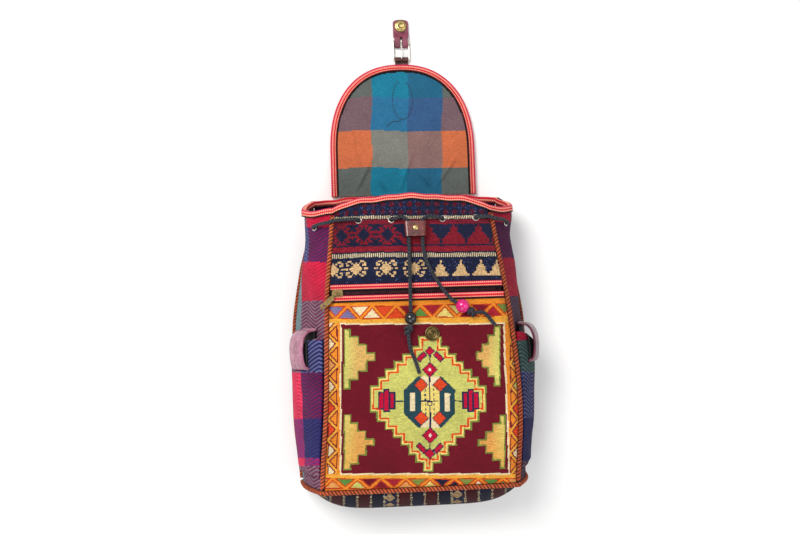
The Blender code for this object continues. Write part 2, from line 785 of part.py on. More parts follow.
def make_teeth():
    """Two rows of closed teeth, as one toothed strip."""
    half = at_height(FRONT_HALF, ZIP_H) - SEAM - 0.004
    lean = at_height(FRONT_LEAN, ZIP_H)
    count = 2 * round(half / TOOTH_PITCH)
    stations = list(range(2 * count + 1))

    def place(i, row):
        x = lean + blend(-half, half, i / (2 * count))
        depth = TOOTH_DEPTH if i // 1 % 2 else 0
        return over_front(x, ZIP_H + row * (ZIP_SLOT / 2 - 0.0004 - depth), RIBBON - GAP / 2)

    finishes = [finish_of("zip_teeth brass", (0.20, 0.17, 0.11), 0.45, 1.0)]
    panel("zip_teeth", stations, [-1, 1], place, RIBBON - GAP, finishes)


def box(size, centre, bevel=0.0):
    """A bmesh block with its upright edges rounded."""
    block = bmesh.new()
    bmesh.ops.create_cube(block, size=1.0)
    block.transform(Matrix.Translation(centre) @ Matrix.Diagonal((*size, 1)))
    if bevel:
        upright = [e for e in block.edges if abs(e.verts[0].co.z - e.verts[1].co.z) > 1e-6]
        bmesh.ops.bevel(block, geom=upright, offset=bevel, segments=2, profile=0.5, affect="EDGES")
    return block


def joined(*blocks):
    """Several bmeshes as one, still separate shells."""
    whole = bmesh.new()
    for block in blocks:
        data = bpy.data.meshes.new("piece")
        block.to_mesh(data)
        block.free()
        whole.from_mesh(data)
        bpy.data.meshes.remove(data)
    return whole


def rod(a, b, radius, segments=8):
    """A bmesh cylinder from a to b."""
    a, b = Vector(a), Vector(b)
    bar = bmesh.new()
    bmesh.ops.create_cone(
        bar, cap_ends=True, segments=segments, radius1=radius, radius2=radius, depth=(b - a).length
    )
    bar.transform(Matrix.Translation((a + b) / 2) @ (b - a).to_track_quat("Z", "Y").to_matrix().to_4x4())
    return bar


def unite(part, block):
    data = bpy.data.meshes.new("join")
    block.to_mesh(data)
    block.free()
    data.transform(Matrix.Translation(-part.location))
    extra = bpy.data.objects.new("join", data)
    extra.location = part.location
    return boolean(part, extra, "UNION")


def make_slider():
    """The slider's plate with two lugs and a pin, and the pull whose eye turns on the pin."""
    normal = front_normal(0, ZIP_H)
    along = normal.cross(Vector((1, 0, 0)))
    ground = Vector((SLIDER_X, ZIP_H, front_at(0, ZIP_H).z))
    seat = Matrix.Translation(ground) @ Matrix((Vector((1, 0, 0)), along, normal)).transposed().to_4x4()
    length, width, thick = SLIDER
    away = Vector((math.cos(PULL_ANGLE), math.sin(PULL_ANGLE), 0))
    across = Vector((away.y, -away.x, 0))
    pin = Vector((0, 0, PIN_N))
    brass = [finish_of("zip_slider brass", (0.30, 0.25, 0.15), 0.4, 1.0)]
    plate = box((length, width, thick), (0, 0, SLIDER_N + thick / 2), 0.0022)
    plate.transform(seat)
    slider = smooth(add("zip_slider", plate, brass, seat @ pin), 30)
    lug_half = EYE_HALF + GAP + 0.0008
    rods = [rod(pin - across * (lug_half + 0.0004), pin + across * (lug_half + 0.0004), PIN_R)]
    for turn in (-1, 1):
        foot = across * turn * lug_half
        rods.append(rod(foot + Vector((0, 0, SLIDER_N + thick / 2)), foot + Vector((0, 0, PIN_N + 0.0008)), 0.0009))
    for bar in rods:
        bar.transform(seat)
        unite(slider, bar)
    make_pull(seat, pin, away, across)


def make_pull(seat, pin, away, across):
    """A flat pull with a hole near its end, hanging from the slider's pin."""
    drop = math.radians(PULL_DROP)
    down = away * math.cos(drop) - Vector((0, 0, math.sin(drop)))
    hang = seat @ Matrix.Translation(pin) @ Matrix((across, down, across.cross(down))).transposed().to_4x4()
    brass = [finish_of("zip_pull brass", (0.32, 0.27, 0.17), 0.4, 1.0)]
    inner = PIN_R + 0.0003
    profile = ((inner, -EYE_HALF), (inner, EYE_HALF), (EYE_R, EYE_HALF), (EYE_R, -EYE_HALF))
    pull = turned("zip_pull", profile, 10, brass, hang.translation, hang.to_3x3() @ Vector((1, 0, 0)))
    neck, stem = 0.0011, 0.0070
    blade = PULL_LENGTH - stem + 0.0010
    blocks = (
        box((2 * EYE_HALF, stem, PULL_THICK), (0, neck + stem / 2, 0)),
        box((PULL_WIDTH, blade, PULL_THICK), (0, PULL_LENGTH - blade / 2, 0), 0.0024),
    )
    for block in blocks:
        block.transform(hang)
        unite(pull, block)
    hole = rod((0, PULL_LENGTH - 0.0046, -0.004), (0, PULL_LENGTH - 0.0046, 0.004), 0.0013)
    hole.transform(hang)
    data = bpy.data.meshes.new("pull_hole")
    hole.to_mesh(data)
    hole.free()
    boolean(pull, bpy.data.objects.new("pull_hole", data))


# Mouth: eyelets, drawstring, stopper and beads


def make_eyelet(name, point, normal):
    """A round lip outside and a barrel through the cloth."""
    lip = GAP + EYELET_LIP
    profile = (
        (EYELET_HOLE, -KILIM - GAP),
        (EYELET_BARREL, -KILIM - GAP),
        (EYELET_BARREL, GAP),
        (EYELET_FLANGE, GAP),
        (EYELET_FLANGE - 0.0004, lip),
        (EYELET_HOLE, lip),
    )
    turned(name, profile, 12, [finish_of(f"{name} nickel", (0.55, 0.53, 0.47), 0.3, 1.0)], point, normal)


def make_eyelets():
    for i, x in enumerate(EYELETS_X):
        s = front_share(x, CORD_H)
        make_eyelet(f"eyelet_front_{i + 1}", front_at(s, CORD_H), front_normal(s, CORD_H))
    for side, word in ((-1, "left"), (1, "right")):
        make_eyelet(f"eyelet_side_{word}", *side_eyelet(side))


def stopper_frame():
    """The stopper's centre, and the direction down the bag in which it slides along the cords."""
    ground = over_front(STOPPER_X, STOPPER_H, 0)
    centre = ground + Vector((0, 0, STOPPER[2] / 2 + STOPPER_LIFT))
    down = (over_zip(0) - centre).normalized()
    return centre, Vector((0, down.y, down.z)).normalized()


def over_zip(x):
    """The middle of a cord that passes over the zip clear of the slider and its pull."""
    return over_front(x, ZIP_H, 0) + Vector((0, 0, OVER_ZIP))


def channel(turn, along):
    """A point on a channel's axis: along is measured down the bag from the stopper's middle."""
    centre, down = stopper_frame()
    return centre + down * along + Vector((turn * CHANNEL_X, 0, 0))


OUT_RUN = 0.0052
IN_RUN = -0.0080


def front_eyelet_pass(x, sense):
    """The cord's way through a front eyelet, from outside to inside, moving by sense in x."""
    steps = ((-0.0062, OUT_RUN - 0.0004), (-0.0022, OUT_RUN - 0.0012), (0, 0.0016), (0, -0.0016), (0, -0.0048))
    points = [over_front(x + sense * dx, CORD_H, out) for dx, out in steps]
    return [*points, over_front(x + sense * 0.0030, CORD_H, IN_RUN), over_front(x + sense * 0.0080, CORD_H, IN_RUN)]


def side_eyelet_pass(side):
    """From outside, coming from the front, to inside, going to the back."""
    middle, normal = side_eyelet(side)
    along = (side_at(SIDE_EYELET_T + 0.05, SIDE_EYELET_H, side) - middle).normalized()
    steps = ((0.0062, OUT_RUN - 0.0004), (0.0022, OUT_RUN - 0.0012), (0, 0.0016), (0, -0.0016), (0, -0.0048))
    points = [middle + along * step + normal * out for step, out in steps]
    return [*points, *(middle - along * step + normal * IN_RUN for step in (0.0030, 0.0085))]


def inside_back(s, out):
    return back_at(s, CORD_H) + Vector((0, 0, out))


def half_route(side):
    """From the stopper's channel, out over the front, and inside to the middle of the back."""
    near, far = (EYELETS_X[1], EYELETS_X[0]) if side < 0 else (EYELETS_X[2], EYELETS_X[3])
    top = -STOPPER[1] / 2
    start = channel(side, top).x
    route = [channel(side, 0.0070), channel(side, top + 0.001), channel(side, top - 0.0035)]
    route.append(over_front(blend(start, near, 0.28), CORD_H + 0.0045, 0.0052))
    route += front_eyelet_pass(near, side)
    route.append(over_front((near + far) / 2, CORD_H, IN_RUN))
    back_out = front_eyelet_pass(far, -side)
    route += back_out[::-1]
    s_edge = side * 0.94
    route.append(over_front_share(s_edge, CORD_H - 0.001, 0.0058))
    route.append(front_corner(side, CORD_H - 0.002) + Vector((side * 0.0052, 0, 0.0040)))
    route.append(over_side(0.90, SIDE_EYELET_H + 0.001, side, 0.0060))
    route += side_eyelet_pass(side)
    route.append(over_side(0.42, SIDE_EYELET_H, side, IN_RUN))
    route.append(over_side(0.24, CORD_H, side, IN_RUN))
    route.append(inside_back(side * 0.88, 0.0170))
    route.append(inside_back(side * 0.74, 0.0105))
    route.append(inside_back(side * 0.50, 0.0075))
    route.append(inside_back(side * 0.25, 0.0065))
    return route


def make_drawstring():
    left, right = half_route(-1), half_route(1)
    route = [*left, inside_back(0, 0.0062), *right[::-1]]
    rope = [finish_of("drawstring black", CLOTH["black"], 0.85)]
    tube("drawstring", smooth_route(route, 1), CORD_R, rope)


def lying(spots):
    """Points of a cord from (x, distance up from the zip, height over the front's face)."""
    return [over_front(x, ZIP_H + up, 0) + Vector((0, 0, out)) for x, up, out in spots]


def make_tails():
    """The drawstring's two ends, each through a glass bead and cut bare."""
    rope = [finish_of("cord_tail_left black", CLOTH["black"], 0.85)]
    black = over_front(*BLACK_BEAD, 0) + Vector((0, 0, BEAD_BLACK_R + BEAD_LIFT))
    apex = over_zip(blend(BLACK_BEAD[0], STOPPER_X - CHANNEL_X, 0.4))
    up = (apex - black).normalized()
    leave = STOPPER[1] / 2 + 0.013
    head = [channel(-1, TAIL_START), channel(-1, leave), channel(-1, leave).lerp(apex, 0.5), apex]
    run = [black + up * step for step in (0.022, 0.011, 0, -0.0095)]
    tube("cord_tail_left", smooth_route([*head, *run, *lying(LEFT_TAIL)], 3), CORD_R, rope)
    rope = [finish_of("cord_tail_right black", CLOTH["black"], 0.85)]
    pink = over_front(*PINK_BEAD, 0) + Vector((0, 0, BEAD_PINK_R + BEAD_LIFT))
    lead = (lying(RIGHT_TAIL)[-1] - pink).normalized()
    head = [channel(1, TAIL_START), channel(1, leave), *lying(RIGHT_TAIL)]
    run = [pink + lead * step for step in (0.0095, 0, -0.0095)]
    tube("cord_tail_right", smooth_route([*head, *run, *lying(RIGHT_END)], 3), CORD_R, rope)
    for name, spot, axis, radius, colour in (
        ("bead_black", black, up, BEAD_BLACK_R, (0.01, 0.01, 0.012)),
        ("bead_pink", pink, lead, BEAD_PINK_R, (0.60, 0.02, 0.22)),
    ):
        reach = math.acos(BEAD_BORE / radius)
        profile = [(radius * math.cos(a), radius * math.sin(a)) for a in spread(reach, -reach, 8)]
        turned(name, profile, 14, [finish_of(f"{name} glass", colour, 0.12)], spot, axis)


def make_stopper():
    """A leather sleeve with a channel for each cord, held shut by a rivet between them."""
    centre, down = stopper_frame()
    width, length, height = STOPPER
    frame = Matrix((Vector((1, 0, 0)), -down, Vector((1, 0, 0)).cross(-down))).transposed().to_4x4()
    body = bmesh.new()
    bmesh.ops.create_cube(body, size=1.0)
    body.transform(Matrix.Diagonal((width, length, height, 1)))
    long_edges = [e for e in body.edges if abs(e.verts[0].co.y - e.verts[1].co.y) > 1e-6]
    bmesh.ops.bevel(body, geom=long_edges, offset=0.0030, segments=3, profile=0.5, affect="EDGES")
    for v in body.verts:
        if v.co.y < 0:
            v.co.x *= STOPPER_TAPER
    place = Matrix.Translation(centre) @ frame
    body.transform(place)
    leather = [finish_of("cord_stopper leather", (0.17, 0.05, 0.045), 0.3)]
    stopper = smooth(add("cord_stopper", body, leather, centre))
    for turn in (-1, 1):
        bore = rod((turn * CHANNEL_X, -length, 0), (turn * CHANNEL_X, length, 0), CHANNEL_R, 10)
        bore.transform(place)
        data = bpy.data.meshes.new("cord_channel")
        bore.to_mesh(data)
        bore.free()
        boolean(stopper, bpy.data.objects.new("cord_channel", data))
    top = place @ Vector((0, 0.0010, height / 2 + GAP))
    brass = [finish_of("stopper_rivet brass", (0.55, 0.42, 0.20), 0.3, 1.0)]
    profile = [(0.0, 0.0), *dome_profile(RIVET_R, 0.0014, 4)]
    turned("stopper_rivet", profile, 12, brass, top, frame.to_3x3() @ Vector((0, 0, 1)))


# Flap, buckle, tab and snaps


def flap_half(h):
    if h <= FLAP_SHOULDER:
        return FLAP_HALF
    share = min(1.0, (h - FLAP_SHOULDER) / (FLAP_TOP - FLAP_SHOULDER))
    return FLAP_HALF * max(0.0, 1 - share**FLAP_ROUND) ** (1 / FLAP_ROUND)


def flap_outline(inset, steps=9):
    """The flap's outline from its lower right corner, up and over the arch."""
    half, top = FLAP_HALF - inset, FLAP_TOP - inset - FLAP_SHOULDER
    arch = []
    for a in spread(0, math.pi / 2, steps):
        c, s = math.cos(a), math.sin(a)
        arch.append((half * c ** (2 / FLAP_ROUND), FLAP_SHOULDER + top * s ** (2 / FLAP_ROUND)))
    right = [(half, FLAP_START), *arch]
    return [*right, *((-x, h) for x, h in right[-2::-1])]


def flap_plate(name, inset, low, thickness, finishes):
    plate = bmesh.new()
    plate.faces.new([plate.verts.new((x, h, low + thickness)) for x, h in flap_outline(inset)])
    return plate, lambda: smooth(solidify(add(name, plate, finishes), thickness), 30)


def make_flap():
    _, close = flap_plate("flap_outer", 0.0003, FLAP_OUTER_Z, FLAP_OUTER, cloths("flap_outer", "navy"))
    close()
    names = ("grey", "turquoise", "slate", "orange", "mauve")
    lining, close = flap_plate("flap_lining", 0.0003, FLAP_LINING_Z, FLAP_LINING, cloths("flap_lining", *names))
    for axis, cuts in ((0, CHECKS_X), (1, CHECKS_H)):
        for cut in cuts:
            spot, normal = Vector((0, 0, 0)), Vector((0, 0, 0))
            spot[axis], normal[axis] = cut, 1
            everything = [*lining.verts, *lining.edges, *lining.faces]
            bmesh.ops.bisect_plane(lining, geom=everything, plane_co=spot, plane_no=normal, dist=1e-6)
    checks = ((0, 1, 2, 0), (3, 0, 4, 3), (4, 2, 2, 4), (0, 1, 2, 0))
    for face in lining.faces:
        middle = face.calc_center_median()
        row = sum(middle.y > h for h in CHECKS_H)
        column = sum(middle.x > x for x in CHECKS_X)
        face.material_index = checks[row][column]
    close()
    make_flap_binding()


def make_flap_binding():
    """A ribbon folded over the flap's edge, from one end of its base round the arch to the other."""
    low = FLAP_OUTER_Z - GAP
    high = FLAP_LINING_Z + FLAP_LINING + GAP
    section = (
        (-GAP, low),
        (BIND_LEG, low),
        (BIND_LEG, low - BIND),
        (-GAP - BIND, low - BIND),
        (-GAP - BIND, high + BIND),
        (BIND_LEG, high + BIND),
        (BIND_LEG, high),
        (-GAP, high),
    )
    skin = bmesh.new()
    loops = []
    for inset, z in section:
        outline = flap_outline(inset, 11)
        outline[0] = (outline[0][0], FLAP_START + GAP)
        outline[-1] = (outline[-1][0], FLAP_START + GAP)
        loops.append([skin.verts.new((x, h, z)) for x, h in outline])
    for i in range(len(loops)):
        low_loop, high_loop = loops[i - 1], loops[i]
        for j in range(len(low_loop) - 1):
            skin.faces.new((low_loop[j], low_loop[j + 1], high_loop[j + 1], high_loop[j]))
    skin.faces.new([loop[0] for loop in loops])
    skin.faces.new([loop[-1] for loop in loops[::-1]])
    bmesh.ops.recalc_face_normals(skin, faces=skin.faces)
    smooth(add("flap_binding", skin, cloths("flap_binding", "salmon")), 30)


def arc(centre, radius, start, end, steps):
    """Points (h, z) on an arc, with angles in degrees from +h towards +z."""
    return [
        (centre[0] + radius * math.cos(math.radians(a)), centre[1] + radius * math.sin(math.radians(a)))
        for a in spread(start, end, steps)
    ]


def leather_strip(name, path, half, colour, origin, slot=None, flip=False):
    """A strip along a path of (h, z) points of its outer face, with half(i) its half width there."""
    stations = list(range(len(path)))
    rows = [-2, -1, 1, 2] if slot else [-2, 2]

    def place(i, row):
        wide = half(i)
        x = SLOT_HALF * row if abs(row) == 1 else wide * row / 2
        return Vector((BUCKLE_X + x, path[i][0], path[i][1]))

    keep = (lambda c, row: abs(row) > 0.5 or not slot(c)) if slot else None
    finish = [finish_of(f"{name} leather", colour, 0.45)]
    return panel(name, stations, rows, place, LEATHER, finish, None, flip, origin, keep)


def make_buckle():
    loop_r = WIRE_R + 0.00035 + LEATHER
    low_bar = Vector((BUCKLE_X, BAR_LOW, BAR_Z))
    high_bar = Vector((BUCKLE_X, BAR_HIGH, BAR_Z))
    start = FLAP_TOP - CHAPE_LENGTH
    heights = [start, start + 0.003, start + 0.008, BAR_LOW - 0.027, BAR_LOW - 0.019, BAR_LOW - 0.012, BAR_LOW - 0.007]
    base = [(h, BAR_Z - loop_r) for h in heights]
    path = base + arc((BAR_LOW, BAR_Z), loop_r, -90, 130, 9)
    widths = [0.0090, 0.0135, CHAPE_HALF, CHAPE_HALF, 0.0140, 0.0100, LOOP_HALF]

    def chape_half(i):
        return widths[i] if i < len(widths) else LOOP_HALF

    leather_strip("buckle_chape", path, chape_half, (0.10, 0.03, 0.03), (0, 0, 0))
    nickel = [finish_of("buckle_frame nickel", (0.62, 0.62, 0.60), 0.25, 1.0)]
    corners = []
    for x, h, start in (
        (FRAME_HALF, BAR_HIGH, 0),
        (-FRAME_HALF, BAR_HIGH, 90),
        (-FRAME_HALF, BAR_LOW, 180),
        (FRAME_HALF, BAR_LOW, 270),
    ):
        inside = Vector((x - math.copysign(FRAME_CORNER, x), h - math.copysign(FRAME_CORNER, h - BAR_LOW - WIRE_R)))
        for a in (start + 5, start + 45, start + 85):
            a = math.radians(a)
            turn = Vector((FRAME_CORNER * math.cos(a), FRAME_CORNER * math.sin(a)))
            corners.append((BUCKLE_X + inside.x + turn.x, inside.y + turn.y, BAR_Z))
    smooth(as_mesh(tube("buckle_frame", corners, WIRE_R, nickel, 2, True, 0.0, low_bar)))
    round_bar = arc((BAR_HIGH, BAR_Z), WIRE_R + GAP + PRONG_R, -190, 90, 11)
    tip = (BAR_LOW + 0.0003, BAR_Z + loop_r + PRONG_R + 0.0004)
    arm = [(blend(BAR_HIGH, tip[0], s), blend(round_bar[-1][1], tip[1], s)) for s in (0.15, 0.4, 0.7, 0.9, 1)]
    points = [(BUCKLE_X, h, z) for h, z in [*round_bar, *arm]]
    nickel = [finish_of("buckle_prong nickel", (0.62, 0.62, 0.60), 0.25, 1.0)]
    tube("buckle_prong", points, PRONG_R, nickel, 2, False, 0.0, high_bar)
    make_tab(loop_r, high_bar)


def make_tab(loop_r, high_bar):
    """One strap of leather folded round the buckle's bar, with a slot at the fold for the prong."""
    near_bar, step = BAR_HIGH - 0.0005, TAB_NARROW + 0.0012
    under = [(h, BAR_Z - loop_r) for h in (TAB_END - 0.0035, TAB_END - 0.0135, step, TAB_NARROW, near_bar)]
    fold = arc((TAB_FOLD, BAR_Z), loop_r, 270, 90, 9)
    top = BAR_Z + loop_r
    flat = 2 * LEATHER + GAP
    over = [(near_bar, top), (TAB_NARROW - 0.0020, top), (TAB_NARROW, blend(top, flat, 0.12))]
    over += [(step, blend(top, flat, 0.32)), (TAB_JOIN - 0.0030, blend(top, flat, 0.75)), (TAB_JOIN, flat)]
    over += [(TAB_END - drop, flat) for drop in (0.0115, 0.0060, 0.0030, 0.0011, 0)]
    path = under + fold + over

    def half(i):
        h = path[i][0]
        if h <= TAB_NARROW:
            return LOOP_HALF
        return min(TAB_HALF, math.sqrt(max(0.0, TAB_HALF**2 - max(0.0, h - TAB_END + TAB_HALF) ** 2)) + 0.0035)

    first, last = len(under) - 2, len(under) + len(fold) + 2
    colour = (0.22, 0.04, 0.09)
    leather_strip("leather_tab", path, half, colour, high_bar, lambda c: first < c < last, True)


def make_snaps():
    """The magnetic snap: its socket on the pocket and its stud on the tab."""
    x, h = SNAP_SOCKET
    point = over_front(x, h, 0.0005)
    bronze = [finish_of("snap_socket bronze", (0.16, 0.13, 0.07), 0.4, 1.0)]
    socket = (
        (0.0, 0.0),
        (SNAP_R, 0.0),
        (SNAP_R, 0.0016),
        (SNAP_R * 0.90, 0.0024),
        (SNAP_R * 0.66, 0.0024),
        (SNAP_R * 0.60, 0.0014),
        (SNAP_R * 0.34, 0.0014),
        (SNAP_R * 0.28, 0.0026),
        (0.0, 0.0028),
    )
    turned("snap_socket", socket, 16, bronze, point, front_normal(front_share(x, h), h))
    brass = [finish_of("snap_stud brass", (0.60, 0.50, 0.26), 0.3, 1.0)]
    stud = (
        (0.0, 0.0),
        (STUD_R, 0.0),
        (STUD_R, 0.0008),
        (STUD_R * 0.72, 0.0012),
        (STUD_R * 0.62, 0.0026),
        (STUD_R * 0.36, 0.0026),
        (STUD_R * 0.30, 0.0012),
        (0.0, 0.0012),
    )
    point = Vector((BUCKLE_X, STUD_H, 2 * LEATHER + 3 * GAP))
    turned("snap_stud", stud, 16, brass, point, (0, 0, 1))


# Side pockets, loops and straps


def hem(t):
    return blend(HEM_BACK, HEM_FRONT, ease(t))


def pocket_stand(t, h):
    """How far a side pocket's outer face stands off the side panel."""
    full = ease((h - POCKET_LOW) / (hem(t) - POCKET_LOW))
    bulge = math.sin(math.pi * min(1.0, max(0.0, t))) ** 0.8
    return POCKET_WALL + 3 * GAP + POCKET_STAND * (0.25 + 0.75 * full) * bulge


def make_side_pocket(side, name):
    def place(t, v):
        h = blend(POCKET_LOW, hem(t), v)
        out = pocket_stand(t, h) if v > 0 else POCKET_WALL + 3 * GAP
        return over_side(blend(0.05, 0.95, t), h, side, out)

    def paint(t, v):
        return side_paint(t, blend(POCKET_LOW, HEM_FRONT, v))

    finishes = cloths(name, "crimson", "navy", "purple", "mauve", "teal")
    rows = [0, 0.04, 0.2, 0.4, 0.6, 0.8, 1]
    panel(name, spread(0, 1, 8), rows, place, POCKET_WALL, finishes, paint, side > 0)


def make_side_loop(side, name):
    """A wide leather band that arches off the side, over the pocket's mouth."""
    clear = LOOP_LEATHER + 3 * GAP
    depth = (side_at(1, LOOP_H, side) - side_at(0, LOOP_H, side)).length
    arch = [(LOOP_HALF_H * math.cos(a), math.sin(a) ** 0.75, (1 - math.cos(a)) / 2) for a in spread(0, math.pi, 11)]
    path = [(LOOP_HALF_H + LOOP_FOOT, 0, 0), *arch, (-LOOP_HALF_H - LOOP_FOOT, 0, 1)]

    def place(i, row):
        dh, rise, down = path[i]
        t = LOOP_T + row * LOOP_WIDTH / 2 / depth
        h = LOOP_H + dh
        foot = blend(clear, pocket_stand((t - 0.05) / 0.9, h) + clear, down)
        return over_side(t, h, side, blend(foot, LOOP_REACH, rise))

    leather = [finish_of(f"{name} leather", (0.30, 0.06, 0.10), 0.35)]
    panel(name, list(range(len(path))), [-1, 0, 1], place, LOOP_LEATHER, leather, None, side > 0)


def make_strap(side, name):
    """A flat shoulder strap under the back, drawn up to its shortest."""
    route = smooth_route([Vector((side * x, h, 0)) for x, h in STRAP_ROUTE], 2)

    def place(i, row):
        step = (route[min(i + 1, len(route) - 1)] - route[max(i - 1, 0)]).normalized()
        wide = Vector((step.y, -step.x, 0)) * (row * STRAP_HALF)
        return route[i] + wide + Vector((0, 0, STRAP))

    panel(name, list(range(len(route))), [-1, 1], place, STRAP, cloths(name, "dark red"), None, True)


def make_sides():
    for side, word in ((-1, "left"), (1, "right")):
        make_side(side, f"side_panel_{word}")
        make_side_pocket(side, f"side_pocket_{word}")
        make_side_loop(side, f"side_loop_{word}")
        make_strap(side, f"shoulder_strap_{word}")


def set_middle():
    """Move the carrier so that the whole bag is centred on X."""
    bpy.context.view_layer.update()
    seen = bpy.context.evaluated_depsgraph_get()
    solids = [part.evaluated_get(seen) for part in BAG.objects if part.type == "MESH"]
    spots = [(part.matrix_world @ Vector(corner)).x for part in solids for corner in part.bound_box]
    CARRIER.location.x = -(min(spots) + max(spots)) / 2
    bpy.context.view_layer.update()


make_pocket_panel()
make_front_panel()
make_sides()
make_back()
make_bottom()
make_lining()
make_rim()
make_piping()
make_zip()
make_eyelets()
make_drawstring()
make_tails()
make_stopper()
make_flap()
make_buckle()
make_snaps()
set_middle()
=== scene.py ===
"""Looks of a kilim backpack that lies on its back with its flap laid open.

World metres. The bag's own places are x across, h along the bag from its lowest
point and z up, and world() turns them into places in the scene.
"""

import math

import bpy
import numpy as np
from mathutils import Matrix, Vector

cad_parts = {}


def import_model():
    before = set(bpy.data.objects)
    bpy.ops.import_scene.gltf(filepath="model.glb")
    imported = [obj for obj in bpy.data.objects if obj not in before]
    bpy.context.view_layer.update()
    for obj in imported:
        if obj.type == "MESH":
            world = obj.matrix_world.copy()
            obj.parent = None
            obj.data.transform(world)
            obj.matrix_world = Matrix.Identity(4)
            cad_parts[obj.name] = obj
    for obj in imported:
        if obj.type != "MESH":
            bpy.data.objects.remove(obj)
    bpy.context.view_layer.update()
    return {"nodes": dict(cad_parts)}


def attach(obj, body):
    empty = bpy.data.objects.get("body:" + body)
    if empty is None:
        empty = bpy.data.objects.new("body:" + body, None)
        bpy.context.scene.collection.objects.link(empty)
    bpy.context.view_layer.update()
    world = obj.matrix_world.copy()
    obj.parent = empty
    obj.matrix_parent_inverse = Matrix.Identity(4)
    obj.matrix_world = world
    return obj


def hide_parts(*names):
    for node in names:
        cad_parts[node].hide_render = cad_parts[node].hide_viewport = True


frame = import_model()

NODES = frame["nodes"]

# Places and sizes that follow the solids

CX, HALF_LENGTH = -0.00323, 0.31675
GAP, KILIM, COTTON = 0.0003, 0.0030, 0.0010
PIPING_R, CORD_R = 0.00275, 0.00225
SEAM = PIPING_R + GAP
SEAM_H, DOME = 0.029, 0.029
RIM_FRONT, RIM_FRONT_CORNER, RIM_BACK_CORNER, RIM_BACK = 0.384, 0.368, 0.388, 0.394
FRONT_HALF = (
    (0.029, 0.1180), (0.130, 0.1155), (0.200, 0.1120),
    (0.265, 0.1070), (0.353, 0.0975), (0.396, 0.0945),
)
FRONT_LEAN = (
    (0.029, 0.0020), (0.130, 0.0070), (0.200, 0.0060),
    (0.265, 0.0035), (0.353, 0.0015), (0.396, 0.0005),
)
FRONT_Z = ((0.029, 0.102), (0.100, 0.116), (0.180, 0.119), (0.265, 0.1165), (0.330, 0.1080), (0.396, 0.0970))
CROWN = ((0.029, 0.0020), (0.100, 0.0050), (0.180, 0.0065), (0.265, 0.0048), (0.330, 0.0035), (0.396, 0.0010))
BACK_HALF = (
    (0.029, 0.1430), (0.110, 0.1500), (0.230, 0.1480),
    (0.300, 0.1370), (0.353, 0.1240), (0.396, 0.1220),
)
SIDE_BULGE = (
    (0.029, 0.0060), (0.130, 0.0030), (0.235, 0.0040), (0.300, 0.0120),
    (0.335, 0.0160), (0.362, 0.0220), (0.396, 0.0236),
)
CROWN_EDGE, BACK_SEAM_Z = 0.88, 0.020
PLEAT, PLEATS, PLEAT_START = 0.0022, 2.5, 0.300
BACK_FLAT, STRAP_ROOM, BACK_EDGE, STRAP = 0.28, 0.38, 0.80, 0.0030
BOTTOM_LIFT, RIM_LIFT = 0.0060, 0.0045
BIND, BIND_LEG = 0.0010, 0.0075
ZIP_H, ZIP_SLOT, RIBBON, RIBBON_WIDTH = 0.2652, 0.0050, 0.0013, 0.0082
FRONT_LOW = ZIP_H + ZIP_SLOT / 2 + RIBBON_WIDTH
POCKET_TOP = ZIP_H - ZIP_SLOT / 2 - RIBBON_WIDTH
CORD_H, SIDE_EYELET_T, SIDE_EYELET_H = 0.353, 0.755, 0.349
EYELETS_X = (-0.064, -0.024, 0.038, 0.0785)
STOPPER_X, STOPPER_H, STOPPER, STOPPER_LIFT = 0.0037, 0.3395, (0.0264, 0.0185, 0.0112), 0.0007
CHANNEL_X, OVER_ZIP, TAIL_START = 0.0083, 0.0080, 0.0076
BEAD_BLACK_R, BEAD_PINK_R, BEAD_LIFT = 0.0076, 0.0081, 0.0009
BLACK_BEAD, PINK_BEAD = (-0.0063, ZIP_H - 0.0314), (0.0553, ZIP_H - 0.0190)
FLAP_HALF, FLAP_START = 0.0950, RIM_BACK + 2 * GAP + BIND
FLAP_SHOULDER, FLAP_TOP, FLAP_ROUND = FLAP_START + 0.0594, FLAP_START + 0.1749, 2.3
FLAP_FACE = 0.0065
BUCKLE_X, LEATHER = 0.0025, 0.0018
BAR_LOW = FLAP_TOP + 0.0085
BAR_HIGH = BAR_LOW + 0.0255
TAB_END = BAR_HIGH + 0.0290
POCKET_LOW, HEM_FRONT, HEM_BACK, POCKET_WALL, POCKET_STAND = 0.048, 0.213, 0.184, 0.0020, 0.0115
LOOP_T, LOOP_H, LOOP_HALF_H, LOOP_REACH = 0.62, 0.200, 0.0235, 0.0225
LOOP_WIDTH, LOOP_LEATHER = 0.036, 0.0025
STEP, CABLE_STEP = 0.0012, 0.0010
RNG = np.random.default_rng(7)


def ease(t):
    t = np.clip(t, 0.0, 1.0)
    return t * t * (3 - 2 * t)


def mix(a, b, t):
    return a + (b - a) * t


def at_height(stations, h):
    """Sizes at heights h, on a smooth curve through (height, size) stations."""
    h = np.asarray(h, float)
    heights = np.array([s[0] for s in stations])
    sizes = np.array([s[1] for s in stations])
    last = len(stations) - 2
    i = np.clip(np.searchsorted(heights, h, side="right") - 1, 0, last)
    t = np.clip((h - heights[i]) / (heights[i + 1] - heights[i]), 0.0, 1.0)
    a, b, c, d = (sizes[np.clip(i + k, 0, last + 1)] for k in (-1, 0, 1, 2))
    return 0.5 * (2 * b + (c - a) * t + (2 * a - 5 * b + 4 * c - d) * t**2 + (3 * b - a - 3 * c + d) * t**3)


def stack(x, y, z):
    return np.stack(np.broadcast_arrays(x, y, z), axis=-1).astype(float)


def unit(v):
    return v / np.maximum(np.linalg.norm(v, axis=-1, keepdims=True), 1e-12)


def world(p):
    return np.asarray(p, float) + np.array([CX, -HALF_LENGTH, 0.0])


def front_corner(side, h):
    return stack(side * at_height(FRONT_HALF, h) + at_height(FRONT_LEAN, h), h, at_height(FRONT_Z, h))


